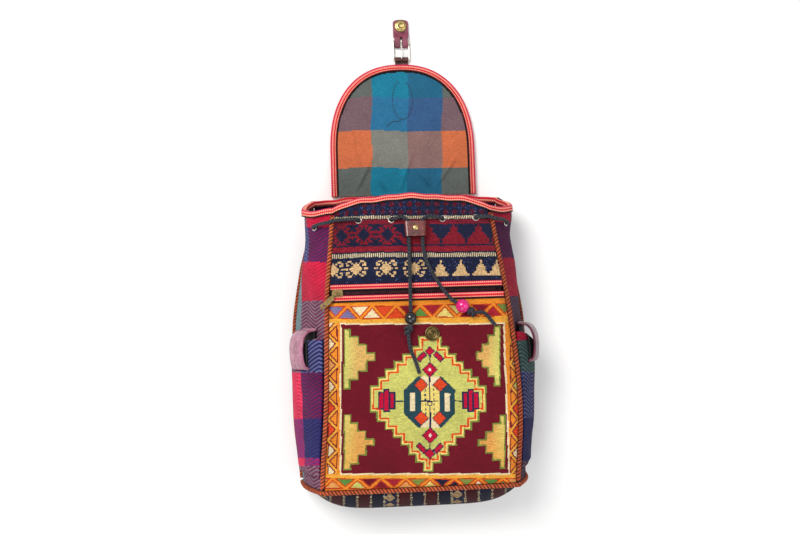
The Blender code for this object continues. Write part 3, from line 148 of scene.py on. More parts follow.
def front_at(s, h):
    x = s * at_height(FRONT_HALF, h) + at_height(FRONT_LEAN, h)
    crown = at_height(CROWN, h) * (1 - ease((np.abs(s) - CROWN_EDGE) / (1 - CROWN_EDGE)))
    pleat = PLEAT * ease((h - PLEAT_START) / 0.09) * np.cos(PLEATS * math.tau * s / 2) * (1 - s**4)
    return stack(x, h, at_height(FRONT_Z, h) + crown + pleat)


def back_at(s, h):
    lift = BOTTOM_LIFT * (1 - ease((h - SEAM_H) / 0.035)) + RIM_LIFT * ease((h - 0.360) / 0.020)
    room = (STRAP + GAP) * ease((np.abs(s) - BACK_FLAT) / (STRAP_ROOM - BACK_FLAT))
    room = room * (1 - ease((h - 0.376) / 0.015))
    edge = np.maximum(0.0, np.abs(s) - BACK_EDGE) / (1 - BACK_EDGE)
    return stack(s * at_height(BACK_HALF, h), h, mix(np.maximum(lift, room), BACK_SEAM_Z, edge**2))


def side_at(t, h, side):
    back = stack(side * at_height(BACK_HALF, h), h, BACK_SEAM_Z)
    t = np.asarray(t, float)
    point = mix(back, front_corner(side, h), t[..., None])
    point[..., 0] += side * at_height(SIDE_BULGE, h) * np.sin(math.pi * t)
    return point


def front_normal(s, h):
    across = front_at(s + 0.01, h) - front_at(s - 0.01, h)
    return unit(np.cross(across, front_at(s, h + 0.002) - front_at(s, h - 0.002)))


def side_normal(t, h, side):
    along = side_at(t + 0.02, h, side) - side_at(t - 0.02, h, side)
    return unit(np.cross(side_at(t, h + 0.002, side) - side_at(t, h - 0.002, side), along) * side)


def front_share(x, h):
    return (x - at_height(FRONT_LEAN, h)) / at_height(FRONT_HALF, h)


def over_front(x, h, out):
    s = front_share(x, h)
    return front_at(s, h) + front_normal(s, h) * out


def over_side(t, h, side, out):
    t = np.asarray(t, float)
    return side_at(t, h, side) + side_normal(t, h, side) * np.asarray(out)[..., None]


def rim_front(s):
    return mix(RIM_FRONT, RIM_FRONT_CORNER, np.abs(s) ** 3)


def rim_side(t):
    return RIM_FRONT_CORNER + (RIM_BACK_CORNER - RIM_FRONT_CORNER) * (1 - t) ** 2.5


def rim_back(s):
    return mix(RIM_BACK, RIM_BACK_CORNER, np.abs(s) ** 3)


# Camera: its place and aim give where a point falls in the 800 by 534 picture

MIDDLE_X, MIDDLE_Y = 400, 267
EYE = np.array([-0.0855 + CX, -0.07575, 1.150])
AIM = np.array([-0.0082 + CX, -0.01575, 0.0])
ROLL, LENS, SENSOR, FOCAL = math.radians(1.8), 39.1, 36.0, 869.0

look = unit(AIM - EYE)
right = unit(np.cross(look, np.array([0.0, 1.0, 0.0])))
up = np.cross(right, look)
right, up = math.cos(ROLL) * right - math.sin(ROLL) * up, math.sin(ROLL) * right + math.cos(ROLL) * up


def picture(points):
    """Picture coordinates of world points."""
    q = points - EYE
    depth = q @ look
    return MIDDLE_X + FOCAL * (q @ right) / depth, MIDDLE_Y - FOCAL * (q @ up) / depth


def make_camera():
    data = bpy.data.cameras.new("camera")
    data.lens, data.sensor_width = LENS, SENSOR
    data.clip_start, data.clip_end = 0.05, 20
    camera = bpy.data.objects.new("camera", data)
    turned = Matrix(np.stack([right, up, -look], axis=1).tolist()).to_4x4()
    camera.matrix_world = Matrix.Translation(Vector(EYE)) @ turned
    bpy.context.scene.collection.objects.link(camera)
    bpy.context.scene.camera = camera


make_camera()
bpy.context.scene.view_settings.view_transform = "Standard"


# Colours

def rgb(r, g, b):
    c = np.array([r, g, b], float) / 255
    return np.where(c <= 0.04045, c / 12.92, ((c + 0.055) / 1.055) ** 2.4)


NAVY, INDIGO, SKY = rgb(26, 31, 58), rgb(42, 52, 96), rgb(92, 108, 165)
MAROON, DARK_RED, RED = rgb(112, 16, 34), rgb(128, 24, 40), rgb(168, 34, 48)
CRIMSON, VERMILION = rgb(196, 12, 56), rgb(226, 74, 34)
ORANGE, YELLOW, PEACH = rgb(240, 142, 42), rgb(244, 172, 60), rgb(226, 158, 86)
CREAM, PALE, TAN = rgb(244, 222, 178), rgb(238, 214, 120), rgb(208, 172, 124)
LIME, OLIVE, GREEN = rgb(208, 206, 110), rgb(122, 138, 60), rgb(92, 142, 62)
TEAL, LAVENDER, WHITE = rgb(38, 72, 82), rgb(124, 116, 160), rgb(244, 240, 232)
BLACK, DEEP_BLUE = rgb(20, 18, 20), NAVY * 1.6


class Canvas:
    """Colours of cells whose picture coordinates are x and y, painted shape by shape."""

    def __init__(self, x, y, ground):
        self.x, self.y = x, y
        self.colour = np.empty((*x.shape, 3))
        self.colour[:] = ground

    def fill(self, mask, colour):
        self.colour[mask] = colour

    def box(self, x0, x1, y0, y1, colour):
        self.fill((self.x >= x0) & (self.x < x1) & (self.y >= y0) & (self.y < y1), colour)

    def diamond(self, cx, cy, rx, ry, colour, edge=None, width=1.2):
        reach = np.abs(self.x - cx) / rx + np.abs(self.y - cy) / ry
        if edge is not None:
            self.fill(reach < 1 + width / min(rx, ry), edge)
        self.fill(reach < 1, colour)

    def bar(self, cx, cy, half_long, half_wide, turn, colour, edge=None, width=1.1):
        """A short bar round its middle, turned by an angle in degrees."""
        c, s = math.cos(math.radians(turn)), math.sin(math.radians(turn))
        along = np.abs((self.x - cx) * c + (self.y - cy) * s)
        across = np.abs(-(self.x - cx) * s + (self.y - cy) * c)
        if edge is not None:
            self.fill((along < half_long + width) & (across < half_wide + width), edge)
        self.fill((along < half_long) & (across < half_wide), colour)

    def zigzag(self, along, across, start, period, reach, fills_low, fills_high, line, outline):
        """Triangles on both sides of a zigzag; across runs from 0 to 1 between the two edges."""
        share = (along - start) / period
        tooth = np.abs(2 * (share - np.floor(share)) - 1)
        gap = (across - tooth) * reach / np.sqrt(1 + (2 * reach / period) ** 2)
        inside = (across > 0) & (across < 1)
        low = np.floor(share).astype(int) % len(fills_low)
        high = np.floor(share + 0.5).astype(int) % len(fills_high)
        edge = np.minimum(across, 1 - across) * reach
        outline_half, line_half, border = 2.3, 1.05, 1.1
        colour = np.where((gap > 0)[..., None], np.array(fills_low)[low], np.array(fills_high)[high])
        colour = np.where(((np.abs(gap) < outline_half) | (edge < border))[..., None], outline, colour)
        colour = np.where((np.abs(gap) < line_half)[..., None], line, colour)
        self.colour[inside] = colour[inside]


def wobble(x, y, size, seed):
    """Smooth noise between about -1 and 1 over a plane, from a few turned waves."""
    random = np.random.default_rng(seed)
    total = np.zeros_like(x)
    for _ in range(6):
        angle, phase = random.uniform(0, math.tau), random.uniform(0, math.tau)
        scale = random.uniform(0.6, 1.7)
        total += np.sin((x * math.cos(angle) + y * math.sin(angle)) * math.tau / size * scale + phase)
    return total / 3


def yarn(colour, amount, seed, lengthwise=3):
    """The uneven dye of hand-spun wool: each stitch, and each short run of a row, a little apart."""
    random = np.random.default_rng(seed)
    n, m = colour.shape[:2]
    stitch = random.normal(0, amount, (n, m, 1))
    run = np.repeat(random.normal(0, amount * 0.8, (n // lengthwise + 1, m, 1)), lengthwise, axis=0)[:n]
    return np.clip(colour * np.exp(stitch + run), 0, 1)


# Meshes from grids of points

def grid_object(name, points, uv, colours=None, second=None, wrap=(False, False), flip=False, body="bag"):
    """A quad skin over points[i, j]; colours are one for each face and uv is given for each corner."""
    n, m = points.shape[:2]
    index = np.arange(n * m).reshape(n, m)
    if wrap[0]:
        index = np.concatenate([index, index[:1]], axis=0)
    if wrap[1]:
        index = np.concatenate([index, index[:, :1]], axis=1)
    corners = ((0, 0), (1, 0), (1, 1), (0, 1))
    if flip:
        corners = corners[::-1]
    a, b = index.shape[0] - 1, index.shape[1] - 1
    quads = np.stack([index[i : i + a, j : j + b] for i, j in corners], axis=-1).reshape(-1, 4)
    data = bpy.data.meshes.new(name)
    data.from_pydata(world(points.reshape(-1, 3)), [], quads)
    cells = np.stack([uv[i : i + a, j : j + b] for i, j in corners], axis=2).reshape(-1)
    data.uv_layers.new(name="cells").data.foreach_set("uv", cells.astype(np.float32))
    for label, values in (("paint", colours), ("yarn", second)):
        if values is not None:
            faces = np.concatenate([values.reshape(-1, 3), np.ones((a * b, 1))], axis=1)
            layer = data.color_attributes.new(label, "FLOAT_COLOR", "CORNER")
            layer.data.foreach_set("color", np.repeat(faces, 4, axis=0).astype(np.float32).ravel())
    data.shade_smooth()
    return link(name, data, body)


def link(name, data, body="bag"):
    piece = bpy.data.objects.new(name, data)
    bpy.context.scene.collection.objects.link(piece)
    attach(piece, body)
    return piece


def cells_of(u, v):
    """The uv of a grid's corners."""
    return np.stack(np.meshgrid(u, v, indexing="ij"), axis=-1)


def thicken(piece, thickness, inside=0):
    """Cloth or leather of a thickness; inside moves its inner face on by some material slots."""
    wall = piece.modifiers.new("Thickness", "SOLIDIFY")
    wall.thickness, wall.offset = thickness, -1
    wall.use_even_offset = False
    wall.material_offset = inside
    return piece


def dress(piece, material, node=None):
    """A material, and the node that the piece takes the place of."""
    piece.data.materials.append(material)
    if node:
        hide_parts(node)
    return piece


def frames_along(path, closed=False):
    """Tangents and two side directions that don't twist along a path."""
    if closed:
        tangent = unit(np.roll(path, -1, axis=0) - np.roll(path, 1, axis=0))
    else:
        tangent = unit(np.gradient(path, axis=0))
    side = np.zeros_like(path)
    first = np.cross(tangent[0], [0.0, 0.0, 1.0])
    side[0] = unit(first if np.linalg.norm(first) > 0.1 else np.cross(tangent[0], [1.0, 0.0, 0.0]))
    for i in range(1, len(path)):
        side[i] = unit(side[i - 1] - tangent[i] * (side[i - 1] @ tangent[i]))
    return tangent, side, np.cross(tangent, side)


def lengths(path):
    return np.concatenate([[0.0], np.cumsum(np.linalg.norm(np.diff(path, axis=0), axis=1))])


def resample(path, step):
    """Even points along a smooth curve through a coarse path."""
    path = np.asarray(path, float)
    n = len(path)
    t = np.linspace(0, n - 1, (n - 1) * 16 + 1)
    i = np.minimum(t.astype(int), n - 2)
    f = (t - i)[:, None]
    a, b, c, d = (path[np.clip(i + k, 0, n - 1)] for k in (-1, 0, 1, 2))
    curve = 0.5 * (2 * b + (c - a) * f + (2 * a - 5 * b + 4 * c - d) * f**2 + (3 * b - a - 3 * c + d) * f**3)
    along = lengths(curve)
    count = max(4, round(along[-1] / step))
    spots = np.linspace(0, along[-1], count + 1)
    return np.stack([np.interp(spots, along, curve[:, k]) for k in range(3)], axis=1)


def tube_object(name, path, radius, sides=14, closed=False, colours=None, body="bag", phase=0.0):
    """A round skin along a path, shut at its ends."""
    radii = np.full(len(path), radius) if np.isscalar(radius) else np.asarray(radius, float)
    if not closed:
        tangent = unit(np.gradient(path, axis=0))
        head = [path[0] - tangent[0] * radii[0] * k for k in (0.30, 0.22)]
        tail = [path[-1] + tangent[-1] * radii[-1] * k for k in (0.22, 0.30)]
        path = np.concatenate([head, path, tail])
        shut = [0.02, 0.75]
        radii = np.concatenate([radii[0] * np.array(shut), radii, radii[-1] * np.array(shut[::-1])])
    tangent, side, other = frames_along(path, closed)
    turn = np.arange(sides) / sides * math.tau + phase
    ring = np.cos(turn)[None, :, None] * side[:, None] + np.sin(turn)[None, :, None] * other[:, None]
    points = path[:, None] + ring * radii[:, None, None]
    along = lengths(path)
    if closed:
        along = np.append(along, along[-1] + np.linalg.norm(path[0] - path[-1]))
    uv = cells_of(along, np.arange(sides + 1) / sides)
    return grid_object(name, points, uv, colours, wrap=(closed, True), flip=True, body=body)


def turned_object(name, profile, centre, axis, steps=48, body="bag", flip=False):
    """A (radius, height) profile turned round an axis; a profile that closes makes a ring."""
    profile = np.array(profile, float)
    turn = np.arange(steps) / steps * math.tau
    axis = unit(np.asarray(axis, float))
    first = np.cross(axis, [0.0, 1.0, 0.0])
    first = unit(first if np.linalg.norm(first) > 0.2 else np.cross(axis, [1.0, 0.0, 0.0]))
    other = np.cross(axis, first)
    ring = np.cos(turn)[:, None] * first + np.sin(turn)[:, None] * other
    points = centre + ring[:, None] * profile[None, :, :1] + axis * profile[None, :, 1:]
    uv = cells_of(np.arange(steps + 1) / steps, lengths(np.pad(profile, ((0, 0), (0, 1)))))
    return grid_object(name, points, uv, wrap=(True, False), flip=flip, body=body)


def round_profile(profile, passes=2):
    """A profile with its corners cut smooth."""
    points = [np.array(p, float) for p in profile]
    for _ in range(passes):
        made = [points[0]]
        for a, b in zip(points, points[1:]):
            made += [mix(a, b, 0.25), mix(a, b, 0.75)]
        made.append(points[-1])
        points = made
    return points


# Materials

class Shade:
    """A Principled material with short ways to add and join nodes."""

    def __init__(self, name, rough=0.8, metal=0.0, sheen=0.0, specular=0.5):
        self.material = bpy.data.materials.new(name)
        self.material.use_nodes = True
        self.tree = self.material.node_tree
        self.shader = self.tree.nodes["Principled BSDF"]
        self.shader.inputs["Metallic"].default_value = metal
        self.shader.inputs["Roughness"].default_value = rough
        self.shader.inputs["Specular IOR Level"].default_value = specular
        if sheen:
            self.shader.inputs["Sheen Weight"].default_value = sheen
            self.shader.inputs["Sheen Roughness"].default_value = 0.5

    def put(self, socket, value):
        if isinstance(value, bpy.types.NodeSocket):
            self.tree.links.new(value, socket)
        else:
            socket.default_value = value

    def node(self, kind, out=0, props=(), **ins):
        made = self.tree.nodes.new(kind)
        for key, value in props:
            setattr(made, key, value)
        for key, value in ins.items():
            socket = made.inputs[int(key[1:])] if key[0] == "i" and key[1:].isdigit() else made.inputs[key]
            self.put(socket, value)
        return made.outputs[out]

    def math(self, op, *values):
        ins = {f"i{i}": value for i, value in enumerate(values)}
        return self.node("ShaderNodeMath", 0, (("operation", op),), **ins)

    def noise(self, scale, detail=3.0, rough=0.6, vector=None, out="Fac"):
        made = self.tree.nodes.new("ShaderNodeTexNoise")
        made.inputs["Scale"].default_value = scale
        made.inputs["Detail"].default_value = detail
        made.inputs["Roughness"].default_value = rough
        self.put(made.inputs["Vector"], vector or self.place())
        return made.outputs[out]

    def place(self):
        return self.node("ShaderNodeTexCoord", "Object")

    def cells(self):
        """The uv's two parts."""
        uv = self.node("ShaderNodeUVMap", 0, (("uv_map", "cells"),))
        parts = self.tree.nodes.new("ShaderNodeSeparateXYZ")
        self.tree.links.new(uv, parts.inputs[0])
        return parts.outputs[0], parts.outputs[1]

    def paint(self, label="paint"):
        return self.node("ShaderNodeVertexColor", 0, (("layer_name", label),))

    def span(self, value, low, high, to_low, to_high):
        made = self.tree.nodes.new("ShaderNodeMapRange")
        self.put(made.inputs["Value"], value)
        for key, number in (("From Min", low), ("From Max", high), ("To Min", to_low), ("To Max", to_high)):
            made.inputs[key].default_value = number
        return made.outputs[0]

    def blend(self, kind, factor, a, b):
        made = self.tree.nodes.new("ShaderNodeMix")
        made.data_type, made.blend_type = "RGBA", kind
        self.put(made.inputs[0], factor)
        self.put(made.inputs[6], a if isinstance(a, bpy.types.NodeSocket) else (*a, 1.0))
        self.put(made.inputs[7], b if isinstance(b, bpy.types.NodeSocket) else (*b, 1.0))
        return made.outputs[2]

    def worn(self, colour, amount=0.25, scale=28.0, fine=900.0):
        """The colour with soft patches of fading and a fine mottle."""
        patches = self.span(self.noise(scale, 4.0), 0.3, 0.7, 1 - amount, 1 + amount * 0.6)
        mottle = self.span(self.noise(fine, 2.0), 0.3, 0.7, 1 - amount * 0.9, 1 + amount * 0.9)
        return self.scaled(colour, self.math("MULTIPLY", patches, mottle))

    def scaled(self, colour, factor):
        """The colour made lighter or darker by a factor."""
        made = self.tree.nodes.new("ShaderNodeVectorMath")
        made.operation = "SCALE"
        self.put(made.inputs[0], colour)
        self.put(made.inputs["Scale"], factor)
        return made.outputs[0]

    def finish(self, colour, height=None, strength=0.5, distance=0.0006, rough=None):
        self.put(self.shader.inputs["Base Color"], colour)
        if rough is not None:
            self.put(self.shader.inputs["Roughness"], rough)
        if height is not None:
            bump = self.tree.nodes.new("ShaderNodeBump")
            bump.inputs["Strength"].default_value = strength
            bump.inputs["Distance"].default_value = distance
            self.put(bump.inputs["Height"], height)
            self.tree.links.new(bump.outputs[0], self.shader.inputs["Normal"])
        return self.material


def stitch_material(name, lean=0.28, amount=0.16, depth=0.0007):
    """Soumak and kilim: each cell of the uv is one slanting stitch of wool."""
    s = Shade(name, rough=0.92, sheen=0.04, specular=0.15)
    u, v = s.cells()
    slant = s.math("ADD", u, s.math("MULTIPLY", v, lean))
    across = s.math("ABSOLUTE", s.math("SINE", s.math("MULTIPLY", slant, math.pi)))
    upward = s.math("ABSOLUTE", s.math("SINE", s.math("MULTIPLY", v, math.pi)))
    swell = s.math("MULTIPLY", s.math("POWER", across, 0.6), s.math("POWER", upward, 0.8))
    crown = s.math("POWER", swell, 0.7)
    height = s.math("ADD", crown, s.math("MULTIPLY", s.noise(2600.0, 2.0), 0.35))
    # painted shade: the colour darkens to 0.62 in the hollows between stitches and lightens a little on their
    # crowns
    shade = s.span(crown, 0.0, 0.75, 0.62, 1.06)
    return s.finish(s.scaled(s.worn(s.paint(), amount), shade), height, 0.75, depth)


def twill_material(name, pitch=0.0046, column=0.0260, slant=0.34):
    """Herringbone: two yarns in slanting lines that turn back in each column. The uv is in metres."""
    s = Shade(name, rough=0.95, sheen=0.05, specular=0.1)
    u, v = s.cells()
    fold = s.math("MULTIPLY", s.math("PINGPONG", u, column), slant)
    wave = s.math("FRACT", s.math("DIVIDE", s.math("ADD", v, fold), pitch))
    line = s.span(s.math("ABSOLUTE", s.math("SUBTRACT", wave, 0.5)), 0.18, 0.32, 0.0, 1.0)
    thread = s.math("ABSOLUTE", s.math("SINE", s.math("MULTIPLY", u, math.pi / 0.0011)))
    fuzz = s.noise(1500.0, 3.0)
    broken = s.math("MULTIPLY", line, s.span(fuzz, 0.32, 0.52, 0.35, 1.0))
    colour = s.blend("MIX", broken, s.paint("paint"), s.paint("yarn"))
    ribs = s.math("ADD", s.math("MULTIPLY", thread, 0.3), fuzz)
    height = s.math("ADD", s.math("MULTIPLY", line, 0.5), ribs)
    return s.finish(s.worn(colour, 0.26), height, 0.8, 0.0009)


def band_material(name, depth=0.0004):
    """A patterned ribbon or fine woven band: the uv's cells are its picks."""
    s = Shade(name, rough=0.78, sheen=0.03, specular=0.2)
    u, v = s.cells()
    a = s.math("ABSOLUTE", s.math("SINE", s.math("MULTIPLY", u, math.pi)))
    b = s.math("ABSOLUTE", s.math("SINE", s.math("MULTIPLY", v, math.pi)))
    height = s.math("ADD", s.math("MULTIPLY", a, 0.7), s.math("MULTIPLY", b, 0.5))
    height = s.math("ADD", height, s.math("MULTIPLY", s.noise(2200.0, 2.0), 0.4))
    return s.finish(s.worn(s.paint(), 0.12), height, 0.6, depth)


def cotton_material(name):
    s = Shade(name, rough=0.88, sheen=0.10, specular=0.25)
    u, v = s.cells()
    pitch = 0.0012
    a, b = (s.math("SINE", s.math("MULTIPLY", place, math.tau / pitch)) for place in (u, v))
    weave = s.math("MULTIPLY", a, b)
    crease = s.noise(34.0, 5.0, 0.55)
    height = s.math("ADD", s.math("MULTIPLY", weave, 0.12), s.math("MULTIPLY", crease, 2.2))
    slub = s.span(s.noise(700.0, 3.0), 0.3, 0.7, 0.86, 1.10)
    return s.finish(s.scaled(s.worn(s.paint(), 0.10, 45.0), slub), height, 0.45, 0.0010)


def cloth_material(name, colour, other, pitch=0.0016, sheen=0.2, rough=0.9):
    """Plain weave for a piece without cells of its own, from its place in the bag."""
    s = Shade(name, rough=rough, sheen=sheen, specular=0.2)
    parts = s.tree.nodes.new("ShaderNodeSeparateXYZ")
    s.tree.links.new(s.place(), parts.inputs[0])
    level = s.math("ADD", parts.outputs[0], parts.outputs[2])
    x = s.math("SINE", s.math("MULTIPLY", level, math.tau / pitch))
    y = s.math("SINE", s.math("MULTIPLY", parts.outputs[1], math.tau / pitch))
    weave = s.math("MULTIPLY", x, y)
    shade = s.span(weave, -1.0, 1.0, 0.0, 1.0)
    height = s.math("ADD", weave, s.noise(1200.0, 3.0))
    return s.finish(s.worn(s.blend("MIX", shade, colour, other), 0.2), height, 0.5, 0.0005)


def rope_material(name, amount=0.2):
    s = Shade(name, rough=0.9, sheen=0.04, specular=0.15)
    u, v = s.cells()
    pitch, turns = 0.0016, 3
    around = s.math("MULTIPLY", v, math.tau * turns)
    fibres = s.math("SINE", s.math("ADD", s.math("MULTIPLY", u, math.tau / pitch), around))
    height = s.math("ADD", s.math("MULTIPLY", fibres, 0.4), s.noise(1800.0, 2.0))
    return s.finish(s.worn(s.paint(), amount, 60.0), height, 0.6, 0.0004)


def braid_material(name):
    """A round braid: strands that cross in both directions."""
    s = Shade(name, rough=0.82, sheen=0.03, specular=0.2)
    u, v = s.cells()
    along = s.math("MULTIPLY", u, math.pi / 0.0042)
    around = s.math("MULTIPLY", v, math.pi * 2)
    a = s.math("SINE", s.math("ADD", along, around))
    b = s.math("SINE", s.math("SUBTRACT", along, around))
    a, b = (s.math("POWER", s.math("ABSOLUTE", strand), 0.5) for strand in (a, b))
    height = s.math("ADD", s.math("MAXIMUM", a, b), s.math("MULTIPLY", s.noise(2400.0, 2.0), 0.4))
    # painted shade and highlight: the braid's colour follows its relief, near black in the hollows between
    # strands and grey on their crowns
    tone = s.blend("MIX", s.span(height, 0.75, 1.35, 0.0, 1.0), rgb(10, 11, 13), rgb(66, 70, 78))
    return s.finish(s.worn(tone, 0.25, 80.0), height, 0.9, 0.0009)


def leather_material(name, colour, dark, rough=0.42, coat=0.0, grain=900.0):
    s = Shade(name, rough=rough, specular=0.5)
    if coat:
        s.shader.inputs["Coat Weight"].default_value = coat
        s.shader.inputs["Coat Roughness"].default_value = 0.18
    cracks = s.tree.nodes.new("ShaderNodeTexVoronoi")
    cracks.feature = "DISTANCE_TO_EDGE"
    cracks.inputs["Scale"].default_value = grain
    s.tree.links.new(s.place(), cracks.inputs["Vector"])
    pore = s.span(cracks.outputs["Distance"], 0.0, 0.12, 0.0, 1.0)
    wear = s.span(s.noise(70.0, 5.0, 0.65), 0.35, 0.68, 0.0, 1.0)
    tone = s.blend("MIX", wear, dark, colour)
    height = s.math("ADD", s.math("MULTIPLY", pore, 0.5), s.noise(300.0, 3.0))
    polish = s.span(s.noise(120.0, 4.0), 0.3, 0.7, rough - 0.10, rough + 0.14)
    return s.finish(s.worn(tone, 0.12), height, 0.35, 0.0004, polish)


def metal_material(name, bright, tarnish_and_groove_shade, rough=0.3, amount=0.5, rings=0.0):
    """Worn metal; a turned piece may have painted shade in grooves a given distance apart along its profile.
    """
    s = Shade(name, rough=rough, metal=1.0)
    cloud = s.noise(260.0, 5.0, 0.7)
    age = s.span(cloud, 0.62 - amount * 0.35, 0.80 - amount * 0.25, 0.0, 1.0)
    colour = s.blend("MIX", age, bright, tarnish_and_groove_shade)
    if rings:
        # painted shade: darker bands along the profile where the grooves' relief would be shaded
        wave = s.math("SINE", s.math("MULTIPLY", s.cells()[1], math.tau / rings))
        colour = s.blend("MIX", s.span(wave, 0.1, 0.8, 0.0, 0.75), colour, tarnish_and_groove_shade * 0.25)
    scratches = s.noise(1800.0, 2.0)
    polish = s.span(scratches, 0.3, 0.7, rough - 0.06, rough + 0.10)
    return s.finish(colour, scratches, 0.05, 0.0001, polish)


def bead_material(name, colour, swirl, rough=0.06):
    s = Shade(name, rough=rough, specular=0.6)
    s.shader.inputs["Coat Weight"].default_value = 0.3
    s.shader.inputs["Coat Roughness"].default_value = 0.03
    vein = s.span(s.noise(150.0, 4.0, 0.5), 0.35, 0.65, 0.0, 1.0)
    return s.finish(s.blend("MIX", vein, colour, swirl), s.noise(240.0, 2.0), 0.03, 0.0003)


STITCHES = cloth_material("brown_thread", rgb(70, 34, 24), rgb(40, 20, 16), 0.0008)
STITCH = stitch_material("soumak_wool")
FINE_STITCH = stitch_material("kilim_wool", lean=0.0, amount=0.2, depth=0.0006)
TWILL = twill_material("herringbone_wool")
BAND = band_material("patterned_ribbon")
CHECK = cotton_material("checked_cotton")
ROPE = rope_material("twisted_cord")
BRAID = braid_material("braided_cord")
NICKEL = metal_material("nickel", rgb(214, 210, 198), rgb(150, 140, 118), 0.26, 0.35)
ANTIQUE = metal_material("antique_brass", rgb(140, 120, 78), rgb(96, 80, 50), 0.34, 0.5)
BRASS = metal_material("bright_brass", rgb(226, 200, 134), rgb(200, 170, 104), 0.22, 0.3)


# Cords, with the beads that they carry

def stopper_frame():
    """The stopper's middle and the way that it slides."""
    centre = over_front(STOPPER_X, STOPPER_H, 0.0) + np.array([0, 0, STOPPER[2] / 2 + STOPPER_LIFT])
    down = over_zip(0.0) - centre
    return centre, unit(np.array([0.0, down[1], down[2]]))


def over_zip(x):
    return over_front(x, ZIP_H, 0.0) + np.array([0, 0, OVER_ZIP])


def channel(turn, along):
    """A place in one of the stopper's two channels."""
    centre, down = stopper_frame()
    return centre + down * along + np.array([turn * CHANNEL_X, 0, 0])


OUT_RUN, IN_RUN = 0.0052, -0.0080
THROUGH = (
    (0.0062, OUT_RUN - 0.0004), (0.0022, OUT_RUN - 0.0012),
    (0, 0.0016), (0, -0.0016), (0, -0.0048),
)
SIDE_COLUMNS = (0, 0.16, 0.33, 0.5, 0.67, 0.84, 1)


def side_in(t, h, side):
    length = np.linalg.norm(side_at(1.0, h, side) - side_at(0.0, h, side))
    return side_at(mix(SEAM / length, 1 - SEAM / length, t), h, side)


def side_eyelet(side):
    """The middle and the normal of a side's eyelet, on the flat between four of the solid's points."""
    i = sum(SIDE_EYELET_T > t for t in SIDE_COLUMNS)
    corners = []
    for v in (0.92, 1.0):
        for t in SIDE_COLUMNS[i - 1 : i + 1]:
            corners.append(side_in(t, mix(SEAM_H + SEAM, rim_side(t) - BIND_LEG, v), side))
    across = corners[1] - corners[0] + corners[3] - corners[2]
    upward = corners[2] - corners[0] + corners[3] - corners[1]
    return sum(corners) / 4, unit(np.cross(upward, across) * side)


def front_eyelet_pass(x, sense):
    """The cord's points from the cloth's face through an eyelet to its back."""
    points = [over_front(x - sense * step, CORD_H, out) for step, out in THROUGH]
    return points + [over_front(x + sense * step, CORD_H, IN_RUN) for step in (0.0030, 0.0080)]


def side_eyelet_pass(side):
    middle, normal = side_eyelet(side)
    along = unit(side_at(SIDE_EYELET_T + 0.05, SIDE_EYELET_H, side) - middle)
    points = [middle + along * step + normal * out for step, out in THROUGH]
    return points + [middle - along * step + normal * IN_RUN for step in (0.0030, 0.0085)]


def inside_back(s, out):
    return back_at(s, CORD_H) + np.array([0, 0, out])


def half_route(side):
    """The drawstring's way from the stopper through a half's eyelets to the middle of the back."""
    near, far = (EYELETS_X[1], EYELETS_X[0]) if side < 0 else (EYELETS_X[2], EYELETS_X[3])
    top = -STOPPER[1] / 2
    start = channel(side, top)[0]
    route = [channel(side, 0.0070), channel(side, top + 0.001), channel(side, top - 0.0020)]
    route.append(over_front(mix(start, near, 0.34), CORD_H + 0.0018, 0.0050))
    route += front_eyelet_pass(near, side)
    route.append(over_front((near + far) / 2, CORD_H, IN_RUN))
    route += front_eyelet_pass(far, -side)[::-1]
    edge_h = CORD_H - 0.001
    route.append(front_at(side * 0.94, edge_h) + front_normal(side * 0.94, edge_h) * 0.0058)
    route.append(front_corner(side, CORD_H - 0.002) + np.array([side * 0.0052, 0, 0.0040]))
    route.append(over_side(0.90, SIDE_EYELET_H + 0.001, side, 0.0060))
    route += side_eyelet_pass(side)
    route.append(over_side(0.42, SIDE_EYELET_H, side, IN_RUN))
    route.append(over_side(0.24, CORD_H, side, IN_RUN))
    for s, out in ((0.88, 0.0170), (0.74, 0.0105), (0.50, 0.0075), (0.25, 0.0065)):
        route.append(inside_back(side * s, out))
    return route


def lying(spots):
    """Places above the front, as x, h from the zip and height."""
    return [over_front(x, ZIP_H + rise, 0.0) + np.array([0, 0, out]) for x, rise, out in spots]


def knot_path(centre, axis, size, thickness):
    """A small knot drawn tight: two turns round the cord that slant across each other."""
    t = np.linspace(0, math.tau * 2, 80, endpoint=False)
    axis = unit(np.asarray(axis, float))
    first = unit(np.cross(axis, [0.0, 0.0, 1.0]))
    other = np.cross(first, axis)
    along = size * np.sin(t / 2) * 0.62 + size * 0.34 * np.sin(t + 0.6)
    around = thickness * (1.0 + 0.10 * np.cos(t / 2))
    path = centre + np.outer(np.cos(t) * around, first) + np.outer(np.sin(t) * around, other)
    return path + np.outer(along, axis)


LEAVE_STOPPER = STOPPER[1] / 2 + 0.013


def left_tail():
    """The tail with the black bead: its path, the bead's middle and the way through its bore."""
    black = over_front(*BLACK_BEAD, 0.0) + np.array([0, 0, BEAD_BLACK_R + BEAD_LIFT])
    apex = over_zip(mix(BLACK_BEAD[0], STOPPER_X - CHANNEL_X, 0.4))
    rise = unit(apex - black)
    leave = channel(-1, LEAVE_STOPPER)
    head = [channel(-1, TAIL_START), leave, mix(leave, apex, 0.5), apex]
    run = [black + rise * step for step in (0.022, 0.011, 0, -0.0095)]
    tail = lying(
        (
            (-0.0094, -0.0445, 0.0066), (-0.0090, -0.0572, 0.0036), (-0.0070, -0.0692, 0.0027),
            (-0.0028, -0.0802, 0.0027), (0.0000, -0.0892, 0.0027), (0.0020, -0.0962, 0.0027),
        )
    )
    return resample([*head, *run, *tail], STEP), black, rise


